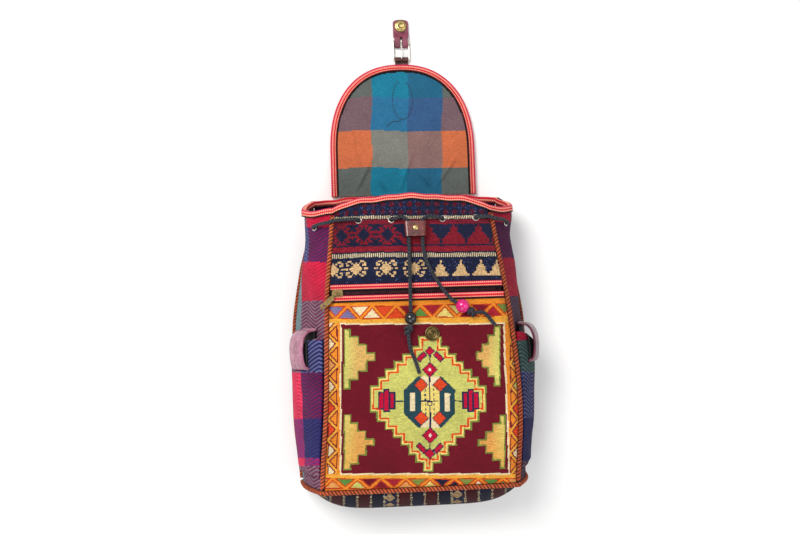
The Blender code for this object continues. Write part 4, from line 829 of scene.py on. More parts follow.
def right_tail():
    """The tail with the magenta bead, given in the same way."""
    pink = over_front(*PINK_BEAD, 0.0) + np.array([0, 0, BEAD_PINK_R + BEAD_LIFT])
    lead_in = lying(
        (
            (0.0136, 0.0428, 0.0070), (0.0172, 0.0308, 0.0074), (0.0232, 0.0188, 0.0078),
            (0.0315, 0.0038, 0.0082), (0.0427, -0.0107, 0.0088),
        )
    )
    lead = unit(lead_in[-1] - pink)
    head = [channel(1, TAIL_START), channel(1, LEAVE_STOPPER), *lead_in]
    run = [pink + lead * step for step in (0.0095, 0, -0.0095)]
    tail = lying(
        (
            (0.0680, -0.0267, 0.0068), (0.0730, -0.0274, 0.0042), (0.0785, -0.0267, 0.0029),
            (0.0840, -0.0297, 0.0027), (0.0888, -0.0358, 0.0027), (0.0940, -0.0426, 0.0027),
        )
    )
    return resample([*head, *run, *tail], STEP), pink, lead


def bored_ball(radius):
    """The profile of a bead with a bore that clears the cord."""
    bore = CORD_R + 0.0004
    reach = math.acos(bore / radius)
    angles = np.linspace(reach, -reach, 26)
    profile = [(radius * math.cos(a), radius * math.sin(a)) for a in angles]
    return profile + [(bore, radius * math.sin(-reach) * k) for k in (0.5, -0.5)] + [profile[0]]


def make_cords():
    left, right_half = half_route(-1), half_route(1)
    route = resample([*left, inside_back(0.0, 0.0062), *right_half[::-1]], STEP)
    dress(tube_object("drawstring_braid", route, CORD_R * 0.96), BRAID, "drawstring")
    black_glass = bead_material("black_glass", (0.004, 0.004, 0.005), (0.010, 0.010, 0.013))
    pink_glass = bead_material("magenta_glass", tuple(rgb(226, 22, 128)), tuple(rgb(190, 8, 96)), 0.12)
    for word, tail, bead, radius, body, finish, knot in (
        ("left", left_tail(), "bead_black", BEAD_BLACK_R, "bead", black_glass, (-0.0094, -0.0452, 0.0058)),
        ("right", right_tail(), "bead_pink", BEAD_PINK_R, "bag", pink_glass, (0.0662, -0.0262, 0.0060)),
    ):
        path, spot, axis = tail
        ball = turned_object(f"{bead}_glass", bored_ball(radius), spot, axis, 48, body, True)
        dress(ball, finish, bead)
        middle = lying([knot])[0]
        wound = tube_object(f"knot_{word}", knot_path(middle, axis, 0.0046, 0.0032), CORD_R * 0.92, 12, True)
        dress(wound, BRAID)
        cord = tube_object(f"tail_{word}", path, CORD_R * 0.96)
        dress(cord, BRAID, f"cord_tail_{word}")


make_cords()


# The soumak panel of the front pocket

def pocket_colours(x, y):
    c = Canvas(x, y, MAROON)
    left_edge, top_edge, bottom_edge = 341.5, 324.4, 473.4
    right_edge = 503.0 + (y - 324) * 0.037
    inner = (x > left_edge) & (x < right_edge) & (y > top_edge) & (y < bottom_edge)
    c.fill(~inner, ORANGE)
    top = (y + (x - 336) * 0.016 - 306.2) / 13.0
    c.zigzag(
        x, 1 - top, 347.8, 24.2, 13.0,
        [CREAM, VERMILION, DARK_RED, RED, LIME, DARK_RED, OLIVE, LAVENDER],
        [LAVENDER, CREAM, VERMILION, GREEN, PALE, DARK_RED, RED, OLIVE],
        ORANGE, VERMILION * 0.75,
    )
    c.fill((top > 1) & (y <= 322.8), YELLOW)
    bottom = (y - 478.4) / 10.6
    c.zigzag(
        x, 1 - bottom, 333.0, 24.3, 10.6,
        [GREEN, MAROON, RED, OLIVE, NAVY, OLIVE, GREEN, PEACH],
        [PEACH, LIME, DARK_RED, PEACH, PALE, NAVY, CREAM, GREEN],
        ORANGE, VERMILION * 0.75,
    )
    c.fill((y > 474.8) & (y <= 478.2), YELLOW)
    rows = (y > 323.0) & (y < 474.5)
    left = Canvas(x, y, ORANGE)
    left.zigzag(
        y, (x - 327.4) / 10.2, 322.5, 21.4, 10.2,
        [ORANGE], [CREAM, CREAM, PEACH, CREAM, VERMILION, VERMILION, CREAM], YELLOW, DARK_RED,
    )
    side_left = rows & (x < 337.8)
    c.colour[side_left] = left.colour[side_left]
    right_side = Canvas(x, y, ORANGE)
    right_side.zigzag(
        y, 1 - (x - 510.2) / 9.0, 318.0, 22.6, 9.0,
        [ORANGE], [PEACH, PEACH, LIME, LIME, VERMILION, VERMILION, CREAM], YELLOW, DARK_RED,
    )
    side_right = rows & (x > 510.2)
    c.colour[side_right] = right_side.colour[side_right]
    line = ~inner & (x > 339.8) & (x < right_edge + 1.7) & (y > 322.8) & (y < 475.0)
    c.fill(line, CREAM)

    stars = (
        (1, ((343.7, 350.5, 328.5, 389.3), (350.5, 359.2, 335.9, 380.5),
             (359.2, 367.4, 344.0, 371.7), (367.4, 375.5, 352.8, 361.6))),
        (1, ((343.7, 351.1, 414.3, 470.4), (351.1, 358.6, 422.4, 464.4),
             (358.6, 366.7, 430.5, 455.6), (366.7, 374.8, 438.7, 446.1))),
        (-1, ((493.8, 500.6, 325.7, 386.6), (487.7, 493.8, 334.5, 377.1),
              (481.6, 487.7, 343.3, 368.3), (476.2, 481.6, 351.4, 360.9))),
        (-1, ((499.9, 505.4, 415.0, 469.1), (492.4, 499.9, 423.1, 461.0),
              (485.7, 492.4, 431.2, 453.5), (478.2, 485.7, 439.3, 446.1))),
    )
    rim = 1.4
    warm = np.clip((y - 400) / 60, 0, 1)[..., None]
    for sense, columns in stars:
        whole, core = np.zeros(x.shape, bool), np.zeros(x.shape, bool)
        for x0, x1, y0, y1 in columns:
            whole |= (x >= x0) & (x < x1) & (y >= y0) & (y < y1)
            near, far = sorted((x0 * sense, x1 * sense))
            across = (x * sense >= near - rim) & (x * sense < far - rim)
            core |= across & (y >= y0 + rim) & (y < y1 - rim)
        edge = columns[0][0] if sense > 0 else columns[0][1]
        core &= (x - edge) * sense > 1.2
        depth = np.clip((np.abs(x - edge) - 4) / 10, 0, 1)[..., None]
        middle = mix(rgb(226, 182, 104), PEACH, 0.5 * warm + 0.35 * (sense < 0))
        fill = mix(mix(LIME, PALE, 0.4), middle, depth)
        fill = mix(fill, rgb(232, 156, 66), warm * 0.6)
        c.fill(whole, OLIVE)
        c.colour[core] = fill[core]

    steps = (
        (335.9, 346.0, 418.1, 441.7), (346.0, 353.5, 411.0, 449.2), (353.5, 361.0, 401.8, 456.6),
        (361.0, 369.0, 393.7, 464.0), (369.0, 377.1, 384.8, 472.2), (377.1, 385.5, 377.5, 478.9),
        (385.5, 412.3, 369.4, 486.4), (412.3, 421.8, 376.8, 478.9), (421.8, 429.9, 384.9, 471.5),
        (429.9, 438.0, 392.4, 464.7), (438.0, 446.1, 400.5, 456.6), (446.1, 455.6, 408.3, 449.2),
        (455.6, 463.1, 415.4, 441.7), (463.1, 472.0, 422.8, 433.4),
    )

    def stepped(inset):
        inside = np.ones(x.shape, bool)
        for dx in (-inset, 0, inset):
            for dy in (-inset, 0, inset):
                here = np.zeros(x.shape, bool)
                for y0, y1, x0, x1 in steps:
                    here |= (x + dx >= x0) & (x + dx < x1) & (y + dy >= y0) & (y + dy < y1)
                inside &= here
        return inside

    c.fill(stepped(0.0), OLIVE)
    c.fill(stepped(1.4), PALE)
    c.fill(stepped(3.0), VERMILION)
    c.fill(stepped(4.7), LIME)

    for cx in (386.7, 470.8):
        for shift, tall in ((-5.2, 8.6), (0.0, 11.2), (5.2, 8.6)):
            c.box(cx + shift - 3.3, cx + shift + 3.3, 400.4 - tall, 400.4 + tall, DEEP_BLUE)
        for shift, tall in ((-5.2, 7.2), (0.0, 9.8), (5.2, 7.2)):
            c.box(cx + shift - 1.7, cx + shift + 1.7, 400.4 - tall, 400.4 + tall, CRIMSON)
    c.box(395.0, 404.0, 400.5, 401.9, TEAL)
    c.box(455.5, 462.5, 400.5, 401.9, TEAL)

    reach = np.maximum(np.abs(x - 429.6) / 25.7, (np.abs(x - 429.6) + np.abs(y - 402.0) * 1.0) / 37.5)
    octagon = (reach < 1) & (np.abs(y - 402.0) < 25.6)
    c.fill(octagon, TEAL)
    core = octagon & (np.abs(x - 430.2) < 9.0)
    c.fill(core, PALE)
    c.fill(core & (np.abs(y - 402) > 15.5), CREAM)
    for cx, y0, y1 in ((412.7, 392.7, 411.2), (447.2, 393.6, 411.6)):
        c.box(cx - 3.0, cx + 3.0, y0, y1, CREAM)
    ladder = (np.abs(np.abs(x - 429.8) - 4.2) < 0.55) & (np.abs(y - 402) < 14)
    c.fill(core & ladder & (np.floor(y / 2.4) % 2 == 0), TEAL)
    c.box(429.1, 430.7, 376.5, 427.6, DEEP_BLUE)
    c.box(421.4, 438.8, 400.6, 402.0, DEEP_BLUE)
    c.box(427.4, 432.2, 401.4, 406.0, DEEP_BLUE)
    c.box(428.4, 431.2, 402.4, 405.0, PALE)
    for cx, cy in ((421.4, 384.8), (440.1, 384.8), (421.4, 418.4), (439.0, 418.4)):
        c.diamond(cx, cy, 6.6, 6.6, VERMILION, DEEP_BLUE, 1.0)
    for cy, ry, small, half, sense in ((369.7, 6.9, 351.2, 4.2, -1), (435.3, 7.4, 453.5, 5.0, 1)):
        for turn in (-1, 1):
            c.bar(430.0 + turn * 8.6, mix(cy, small, 0.70), 4.4, 1.8, turn * sense * -45, CRIMSON, DEEP_BLUE)
        c.box(429.2, 430.8, min(cy, small), max(cy, small), DEEP_BLUE)
        c.diamond(430.1, cy, ry, ry, CRIMSON, DEEP_BLUE)
        c.diamond(430.1, cy, 1.8, 1.8, WHITE)
        c.diamond(429.6, small, half, half, CRIMSON, DEEP_BLUE)
    return c.colour


def panel_cells(columns, rows, place, name, colours, flip=False, relief=None, second=None, uv=None):
    """A cloth panel whose faces are the stitches between its columns and rows."""
    a, b = np.meshgrid(columns, rows, indexing="ij")
    points = place(a, b)
    middle = (points[:-1, :-1] + points[1:, :-1] + points[:-1, 1:] + points[1:, 1:]) / 4
    spots = ((a[:-1, :-1] + a[1:, 1:]) / 2, (b[:-1, :-1] + b[1:, 1:]) / 2)
    painted = colours(middle, *spots)
    painted, other = painted if isinstance(painted, tuple) else (painted, None)
    if relief is not None:
        points = relief(points, a, b)
    cells = cells_of(np.arange(len(columns)), np.arange(len(rows))) if uv is None else uv(a, b)
    return grid_object(name, points, cells, painted, other, flip=flip)


def make_pocket():
    """The pocket's panel: each face is a stitch, puffed a little between its sewn edges."""
    width, height = 186, 236
    columns = np.linspace(-1, 1, width + 1)
    low = SEAM_H + SEAM
    rows = np.linspace(low, POCKET_TOP, height + 1)

    def place(s, h):
        half = at_height(FRONT_HALF, h)
        return front_at(s * (half - SEAM) / half, h)

    def relief(points, s, h):
        puff = 0.0007 * wobble(points[..., 0], points[..., 1], 0.060, 3)
        edge = np.minimum.reduce([(1 - np.abs(s)) / 0.04, (h - low) / 0.005, (POCKET_TOP - h) / 0.005])
        points[..., 2] += (puff - 0.0002) * ease(edge) - 0.0018 * (1 - ease(edge + 0.25))
        return points

    def colours(middle, s, h):
        x, y = picture(world(middle))
        bend = 0.35 * wobble(x, y, 60.0, 11)
        return yarn(pocket_colours(x + bend, y + 0.35 * wobble(x, y, 70.0, 12)), 0.085, 5)

    piece = panel_cells(columns, rows, place, "pocket_soumak", colours, relief=relief)
    dress(piece, STITCH, "pocket_panel")


make_pocket()


# The upper front, with bands of motifs

TRIANGLE = ("....#....", "....#....", "...###...", "..#####..", "..#####..", ".#######.", "#########")
HOOKED = (
    "..##.....##..",
    ".#..#.#.#..#.",
    ".##..###..##.",
    "....#####....",
    "##.#######.##",
    "....#####....",
    ".##..###..##.",
    ".#..#.#.#..#.",
    "..##.....##..",
)
ARROW = ("#########", ".#######.", ".#######.", "..#####..", "...###...", "....#....", "....#....")


def stamp(x, y, art, cx, cy, wide, tall):
    """Where a small woven motif, drawn in rows of cells, covers the picture."""
    art = np.array([[mark == "#" for mark in row] for row in art])
    i = np.floor((y - cy) / tall * art.shape[0] + art.shape[0] / 2).astype(int)
    j = np.floor((x - cx) / wide * art.shape[1] + art.shape[1] / 2).astype(int)
    inside = (i >= 0) & (i < art.shape[0]) & (j >= 0) & (j < art.shape[1])
    return inside & art[np.clip(i, 0, art.shape[0] - 1), np.clip(j, 0, art.shape[1] - 1)]


def front_colours(x, y):
    y = y - 1.8 * ease((372 - x) / 42) + 0.8 * ease((x - 440) / 60)
    c = Canvas(x, y, NAVY)

    def rows(low, high):
        return (y > low) & (y < high)

    speck = RNG.random(x.shape)
    top = y < 215.4
    diamonds = np.abs(((x / 9.0) % 1) - 0.5) + np.abs(((y / 8.0) % 1) - 0.5)
    c.fill(top & (diamonds < 0.40) & (speck < 0.68), DARK_RED * 0.55)
    c.fill(top & (diamonds > 0.62) & (speck < 0.4), INDIGO * 0.8)
    c.fill(top & (speck > 0.965), SKY * 0.7)
    bars = np.arange(x.shape[0])[:, None] % 2 == 0
    for low, high in ((215.6, 218.8), (252.9, 257.0)):
        c.fill(rows(low, high) & bars, CREAM * 0.86)
    c.fill(rows(219.6, 223.8), DARK_RED)
    c.fill(rows(221.3, 222.1) & (((x / 4.0) % 1) < 0.5), NAVY)
    band = rows(224.4, 244.8)
    c.fill(band, DARK_RED)
    for k, cx in enumerate((341.5, 364.0, 387.5)):
        c.fill(band & stamp(x, y, HOOKED, cx, 234.4, 24.5, 19.6), NAVY)
        c.fill(band & stamp(x, y, TRIANGLE, cx + 11.8, 241.0, 9.0, 7.0), NAVY)
        c.fill(band & stamp(x, y, ARROW, cx + 11.8, 228.0, 9.0, 7.0), NAVY)
    for cx in (407.5, 441.2, 466.2, 490.5):
        c.fill(band & stamp(x, y, ARROW, cx, 234.0, 23.0, 19.0), NAVY * 1.1)
    c.fill(rows(244.4, 245.8), NAVY)
    c.fill(rows(246.0, 251.4), DARK_RED * 1.15)
    low_band = rows(259.4, 277.6)
    for cx in (333.0, 356.0, 386.2, 414.6):
        c.fill(low_band & stamp(x, y, HOOKED, cx, 268.3, 24.0, 16.4), TAN)
    for cx in (440.6, 461.0, 480.9, 496.8):
        c.fill(low_band & stamp(x, y, TRIANGLE, cx, 268.3, 16.6, 16.0), TAN)
    c.fill((speck > 0.975) & (y > 259) & (c.colour[..., 2] > c.colour[..., 0]), SKY * 0.8)
    return c.colour


def make_front():
    """The panel between the zip's ribbon and the rim."""
    width, height = 170, 116
    columns = np.linspace(-1, 1, width + 1)
    rows = np.linspace(0, 1, height + 1)

    def place(s, v):
        h = mix(FRONT_LOW, rim_front(s), v)
        half = at_height(FRONT_HALF, h)
        return front_at(s * (half - SEAM) / half, h)

    def relief(points, s, v):
        points[..., 2] += 0.0004 * wobble(points[..., 0], points[..., 1], 0.035, 4) * ease(v * 8)
        return points

    def colours(middle, s, v):
        x, y = picture(world(middle))
        return yarn(front_colours(x, y), 0.16, 6, 2)

    piece = panel_cells(columns, rows, place, "front_kilim", colours, relief=relief)
    dress(thicken(piece, KILIM * 0.9), FINE_STITCH, "front_panel")


make_front()


# The sides, their pockets and loops, in herringbone

GREY_YARN, LAVENDER_YARN = rgb(136, 114, 134), rgb(106, 110, 164)
PLAID = {
    "crimson": (CRIMSON * 0.92, rgb(206, 24, 66)),
    "pink": (rgb(214, 26, 74), rgb(232, 60, 96)),
    "navy": (rgb(30, 28, 84), rgb(44, 40, 112)),
    "lavender": (rgb(34, 34, 86), LAVENDER_YARN),
    "purple": (rgb(112, 14, 66), rgb(58, 24, 88)),
    "mauve": (rgb(112, 34, 66), GREY_YARN),
    "magenta": (rgb(160, 18, 84), rgb(92, 38, 122)),
    "teal": (rgb(84, 116, 124), rgb(140, 160, 164)),
    "plum": (rgb(78, 26, 52), rgb(112, 92, 118)),
    "green": (rgb(44, 78, 78), rgb(96, 122, 118)),
    "dark": (rgb(52, 20, 48), rgb(84, 44, 78)),
}
LEFT_ROWS = (
    (227.0, ("mauve", "mauve", "crimson")),
    (262.0, ("lavender", "lavender", "purple")),
    (301.0, ("teal", "crimson", "crimson")),
    (340.0, ("teal", "mauve", "mauve")),
    (372.5, ("mauve", "mauve", "lavender")),
    (419.0, ("pink", "pink", "purple")),
    (458.0, ("magenta", "magenta", "navy")),
    (466.0, ("pink", "pink", "magenta")),
    (600.0, ("teal", "mauve", "mauve")),
)
RIGHT_ROWS = (
    (222.0, ("dark", "purple", "crimson")),
    (258.0, ("navy", "navy", "purple")),
    (296.0, ("mauve", "crimson", "crimson")),
    (331.0, ("plum", "plum", "plum")),
    (340.0, ("plum", "crimson", "crimson")),
    (372.0, ("green", "green", "green")),
    (418.0, ("plum", "plum", "lavender")),
    (461.0, ("navy", "navy", "navy")),
    (600.0, ("dark", "dark", "plum")),
)


SIDE_STRIPES = (0.26, 0.60)


def plaid(t, y, side):
    """The two yarns of the side's plaid where the picture's height is y."""
    column = np.digitize(t, SIDE_STRIPES)
    bounds, kinds = zip(*(LEFT_ROWS if side < 0 else RIGHT_ROWS))
    row = np.clip(np.digitize(y, bounds), 0, len(bounds) - 1)
    base, other = (
        np.array([[PLAID[name][k] for name in names] for names in kinds])[row, column] for k in (0, 1)
    )
    # painted shade: the right side, which faces away from the light, has both yarns darkened to 0.55
    shade = 1.0 if side < 0 else 0.55
    return yarn(base * shade, 0.07, 21), yarn(other * shade, 0.07, 22)


def make_side(side, word):
    """A side's cloth, with folds where the drawstring gathers it, its pocket and its loop."""
    length = 0.100
    columns = np.linspace(0, 1, 65)
    rows = np.linspace(0, 1, 221)

    def place(t, v):
        h = mix(SEAM_H + SEAM, rim_side(t), v)
        return side_at(mix(SEAM / length, 1 - SEAM / length, t), h, side)

    def relief(points, t, v):
        h = points[..., 1]
        out = side_normal(t, h, side)
        soft = 0.0011 * wobble(points[..., 2], h, 0.075, 31 + side) * ease(v * 9) * np.sin(math.pi * t)
        folds = 0.0012 * np.cos(t * math.tau * 1.5) * ease((v - 0.72) / 0.2) * np.sin(math.pi * t)
        return points + out * (soft + folds - 0.0006)[..., None]

    def colours(middle, t, v):
        x, y = picture(world(middle))
        return plaid(t, y, side)

    def uv(t, v):
        return np.stack([t * 0.105, v * 0.345], axis=-1)

    piece = panel_cells(columns, rows, place, f"side_cloth_{word}", colours, side > 0, relief, uv=uv)
    dress(thicken(piece, KILIM * 0.8), TWILL, f"side_panel_{word}")
    make_side_pocket(side, word)
    make_loop(side, word)


def hem(t):
    """The height of a side pocket's mouth."""
    return mix(HEM_BACK, HEM_FRONT, ease(t))


def pocket_stand(t, h):
    """How far a side pocket stands off its side."""
    full = ease((h - POCKET_LOW) / (hem(t) - POCKET_LOW))
    bulge = np.sin(math.pi * np.clip(t, 0, 1)) ** 0.8
    return POCKET_WALL + 3 * GAP + POCKET_STAND * (0.25 + 0.75 * full) * bulge


def make_side_pocket(side, word):
    columns = np.linspace(0, 1, 61)
    rows = np.linspace(0, 1, 111)

    def place(t, v):
        h = mix(POCKET_LOW, hem(t), v)
        out = mix(POCKET_WALL + 3 * GAP, pocket_stand(t, h), ease(v / 0.05))
        roll = 0.0005 * ease((v - 0.955) / 0.02)
        return over_side(mix(0.05, 0.95, t), h, side, out + roll)

    def relief(points, t, v):
        out = side_normal(t, points[..., 1], side)
        soft = 0.0006 * wobble(points[..., 2], points[..., 1], 0.05, 41 + side)
        soft = soft * ease(v * 9) * np.sin(math.pi * t)
        return points + out * soft[..., None]

    def colours(middle, t, v):
        x, y = picture(world(middle))
        return plaid(t, y, side)

    def uv(t, v):
        return np.stack([t * 0.105 + 0.003, v * 0.155], axis=-1)

    piece = panel_cells(columns, rows, place, f"pocket_cloth_{word}", colours, side > 0, relief, uv=uv)
    dress(thicken(piece, POCKET_WALL * 0.9), TWILL, f"side_pocket_{word}")


# Both loops are of one burgundy leather: the left's pink is a painted sheen of glancing light, and the
# right's dark burgundy is its own colour with painted shade.
LEATHERS = {
    "left": leather_material("pink_lit_leather", rgb(196, 128, 156), rgb(128, 58, 84), 0.36, 0.3),
    "right": leather_material("burgundy_shaded_leather", rgb(112, 34, 62), rgb(66, 16, 34), 0.36, 0.3),
}


SUEDE_AND_SHADE = leather_material("black_suede_and_painted_shade", rgb(26, 22, 24), rgb(12, 10, 12), 0.75)


def make_loop(side, word):
    """A wide leather band that arches off the side over the pocket's mouth."""
    clear = LOOP_LEATHER + 3 * GAP
    depth = float(np.linalg.norm(side_at(1.0, LOOP_H, side) - side_at(0.0, LOOP_H, side)))
    turn = np.linspace(0, math.pi, 45)
    arch = np.stack([LOOP_HALF_H * np.cos(turn), np.sin(turn) ** 0.75, (1 - np.cos(turn)) / 2], axis=1)
    foot = np.linspace(0.0012, 0, 3)[:-1, None]
    head = np.concatenate([LOOP_HALF_H + foot, 0 * foot, 0 * foot], axis=1)
    tail = np.concatenate([-LOOP_HALF_H - foot[::-1], 0 * foot, 0 * foot + 1], axis=1)
    path = np.concatenate([head, arch, tail])
    across = np.linspace(-1, 1, 17)
    i, row = np.meshgrid(np.arange(len(path)), across, indexing="ij")
    dh, rise, down = (path[i, k] for k in range(3))
    t = LOOP_T + row * LOOP_WIDTH / 2 / depth
    h = LOOP_H + dh
    start = mix(clear, pocket_stand((t - 0.05) / 0.9, h) + clear, down)
    crown = -0.0011 * row**2 * rise
    points = over_side(t, h, side, mix(start, LOOP_REACH, rise) + crown)
    uv = cells_of(np.arange(len(path)) * 0.002, across * LOOP_WIDTH / 2)
    piece = grid_object(f"loop_leather_{word}", points, uv, flip=side > 0)
    dress(thicken(piece, LOOP_LEATHER, 1), LEATHERS[word], f"side_loop_{word}")
    # the band's inner face is black: partly the leather's flesh side, partly painted shade inside the loop
    piece.data.materials.append(SUEDE_AND_SHADE)
    # painted shade: a sheet of black suede laid over the side's cloth under the band stands for the shadow
    # inside the loop
    columns, rows = np.linspace(-0.94, 0.94, 21), np.linspace(-LOOP_HALF_H, LOOP_HALF_H, 33)
    row, dh = np.meshgrid(columns, rows, indexing="ij")
    t, h = LOOP_T + row * LOOP_WIDTH / 2 / depth, LOOP_H + dh
    inner = (t - 0.05) / 0.9
    stand = (pocket_stand(inner, h) + clear) * ease((hem(inner) - h) / 0.010 + 0.6)
    edge = np.minimum(1 - np.abs(row), 1 - np.abs(dh) / LOOP_HALF_H)
    points = over_side(t, h, side, np.maximum(stand, clear) + 0.0004 * ease(edge * 8))
    lining = grid_object(f"loop_shadow_sheet_{word}", points, cells_of(columns * 0.018, rows), flip=side > 0)
    dress(thicken(lining, 0.0010), SUEDE_AND_SHADE)


make_side(-1, "left")
make_side(1, "right")


# The bottom, in the same kilim as the front

def bottom_colours(x, s, t):
    c = Canvas(x, t, NAVY)
    repeat = (x + 400) / 13.5
    stripe = np.floor(repeat).astype(int)
    # The colours are kept far darker than the front's: partly the bottom's own dark kilim, partly painted
    # shade, since the bottom faces away from the light.
    blocks = np.array([NAVY * 0.5, DARK_RED * 0.22, NAVY * 0.4, INDIGO * 0.3, DARK_RED * 0.2])
    c.colour[:] = blocks[stripe % 5]
    ladder = (np.abs(repeat % 1 - 0.1) < 0.07) & (((t * 40) % 1) < 0.5)
    c.fill(ladder, CREAM * 0.45)
    motif = (stripe % 5 == 3) & (np.abs(repeat % 1 - 0.5) + np.abs((t * 6) % 1 - 0.5) < 0.42)
    c.fill(motif, TAN * 0.5)
    return c.colour


def make_bottom():
    """The bottom's dome, from the back's seam to the front's."""
    columns = np.linspace(-1, 1, 151)
    rows = np.linspace(0, 1, 71)
    edge = SEAM + 2 * GAP

    def place(s, t):
        low = back_at(s, np.full(s.shape, SEAM_H))[..., 2] + edge
        high = front_at(s, np.full(s.shape, SEAM_H))[..., 2] - edge
        x = s * (mix(at_height(BACK_HALF, SEAM_H), at_height(FRONT_HALF, SEAM_H), t) - edge)
        x = x + s * at_height(SIDE_BULGE, SEAM_H) * np.sin(math.pi * t) + at_height(FRONT_LEAN, SEAM_H) * t
        drop = DOME * (1 - np.abs(s) ** 6) * np.sin(math.pi * np.clip(t, 0, 1)) ** 0.75
        return stack(x, SEAM_H - drop, mix(low, high, t))

    def colours(middle, s, t):
        x, y = picture(world(middle))
        return yarn(bottom_colours(x, s, t), 0.16, 8, 2)

    piece = panel_cells(columns, rows, place, "bottom_kilim", colours)
    dress(thicken(piece, KILIM * 0.9), FINE_STITCH, "bottom_panel")


make_bottom()


# Twisted piping in the seams

def rope(name, node, path, shade=1.0):
    """Four strands laid round each other along a seam, every second one darker."""
    path = resample(path, CABLE_STEP)
    tangent, side, other = frames_along(path)
    along = lengths(path)
    lay = 0.0086
    strands = []
    for k, tone in enumerate((rgb(208, 100, 58), rgb(104, 54, 40), rgb(196, 88, 50), rgb(92, 46, 36))):
        turn = along / lay * math.tau + k * math.tau / 4
        ring = np.cos(turn)[:, None] * side + np.sin(turn)[:, None] * other
        line = path + ring * PIPING_R * 0.52
        piece = tube_object(f"{name}_{k}", line, PIPING_R * 0.51, 8)
        faces = len(piece.data.polygons)
        random = np.random.default_rng(50 + k)
        tones = np.clip(tone * shade * np.exp(random.normal(0, 0.10, (faces, 1))), 0, 1)
        layer = piece.data.color_attributes.new("paint", "FLOAT_COLOR", "CORNER")
        values = np.concatenate([tones, np.ones((faces, 1))], axis=1)
        layer.data.foreach_set("color", np.repeat(values, 4, axis=0).astype(np.float32).ravel())
        dress(piece, ROPE)
        strands.append(piece)
    for piece in strands:
        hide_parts(node)


def make_piping():
    start = SEAM_H + 2 * PIPING_R + GAP
    under_rim = BIND_LEG + GAP + PIPING_R / 2
    # painted shade: the right-hand ropes are darkened to 0.72 and the back seams' by a further 0.8, as they
    # lie in shade
    for side, word, shade in ((-1, "left", 1.0), (1, "right", 0.72)):
        h = np.linspace(start, RIM_FRONT_CORNER - under_rim, 40)
        rope(f"rope_front_{word}", f"piping_front_{word}", front_corner(side, h), shade)
        h = np.linspace(start, RIM_BACK_CORNER - under_rim, 40)
        seam = side_at(np.zeros_like(h), h, side)
        rope(f"rope_back_{word}", f"piping_back_{word}", seam, shade * 0.8)
    ring = outline(lambda place, share: np.full(np.shape(share), SEAM_H), 0.004)
    ring = np.concatenate([ring, ring[:1]])
    rope("rope_bottom", "piping_bottom", ring, 0.92)


def outline(height, step):
    """The body's outline, clockwise from the front's left corner, with height(panel, share)."""
    parts = []
    for place, size in (("front", 0.21), ("right", 0.09), ("back", 0.27), ("left", 0.09)):
        share = np.linspace(0, 1, max(4, round(size / step)), endpoint=False)
        if place == "front":
            s = share * 2 - 1
            parts.append(front_at(s, height("front", s)))
        elif place == "back":
            s = 1 - share * 2
            parts.append(back_at(s, height("back", s)))
        else:
            t = 1 - share if place == "right" else share
            parts.append(side_at(t, height("side", t), 1 if place == "right" else -1))
    return np.concatenate(parts)


make_piping()


# Ribbons: the rim's and the flap's binding, and the two along the zip

ROSE, SALMON, BLUSH = rgb(208, 44, 84), rgb(232, 96, 92), rgb(250, 184, 150)


def ribbon_colours(across, along):
    """The woven ribbon's stripes: across runs from 0 at its outer edge to 1, along counts its picks."""
    tick = (np.floor(along) % 2 == 0)
    colour = np.empty((*across.shape, 3))
    colour[:] = SALMON
    colour[across < 0.14] = ROSE
    first = (across >= 0.14) & (across < 0.34)
    colour[first & tick] = BLUSH
    colour[(across >= 0.34) & (across < 0.60)] = rgb(206, 26, 54)
    second = (across >= 0.60) & (across < 0.76)
    colour[second & tick] = BLUSH
    colour[second & ~tick] = SALMON
    colour[(across >= 0.76) & (across < 0.82)] = rgb(206, 60, 60)
    colour[(across >= 0.82) | ((across >= 0.76) & tick)] = BLACK
    return colour


RIM_CELLS, FLAP_CELLS, INNER_POINTS = 9, 8, 5


def binding_shares(cells, outer):
    """A binding's shares for ribbon_colours: its outer leg's cells, and then those that turn in."""
    across = (np.arange(cells) + 0.5) / outer
    return np.where(across < 1, 1 - across, np.minimum(0.99, (across - 1) * outer / (cells - outer)))


def offset_outline(points, out):
    """The outline moved outwards in its own plane."""
    step = np.roll(points, -2, axis=0) - np.roll(points, 2, axis=0)
    normal = unit(np.stack([step[:, 2], np.zeros(len(step)), -step[:, 0]], axis=1))
    return points - normal * out


def make_rim():
    """The ribbon folded over the mouth's edge, with a slow ripple."""
    rims = {"front": rim_front, "side": rim_side, "back": rim_back}
    inside = -KILIM - 4 * GAP - BIND
    outside = 1.5 * GAP + BIND
    leg = np.linspace(BIND_LEG, 0.0006, 9)
    section = [(outside, drop) for drop in leg]
    section += [(outside - 0.0004, -0.0006)]
    section += [(mix(outside, inside, share), -0.0012) for share in (0.35, 0.65)]
    section += [(inside + 0.0004, -0.0006)]
    section += [(inside, drop) for drop in np.linspace(0.0006, BIND_LEG, INNER_POINTS)]
    rings = []
    for out, drop in section:
        ring = outline(lambda place, share: rims[place](share) - drop, STEP)
        rings.append(offset_outline(ring, out))
    dense = np.stack(rings, axis=1)
    along = np.arange(len(dense))
    ripple = 0.0007 * np.sin(along * 0.093) + 0.0005 * np.sin(along * 0.22 + 1)
    dense[..., 1] += ripple[:, None]
    picks = 2
    n, m = dense.shape[:2]
    a, b = np.meshgrid(np.arange(n), binding_shares(m - 1, RIM_CELLS), indexing="ij")
    colours = ribbon_colours(b, a)
    uv = cells_of(np.arange(n + 1) * picks, np.arange(m))
    piece = grid_object("rim_ribbon", dense, uv, colours, wrap=(True, False))
    dress(piece, BAND, "rim_binding")


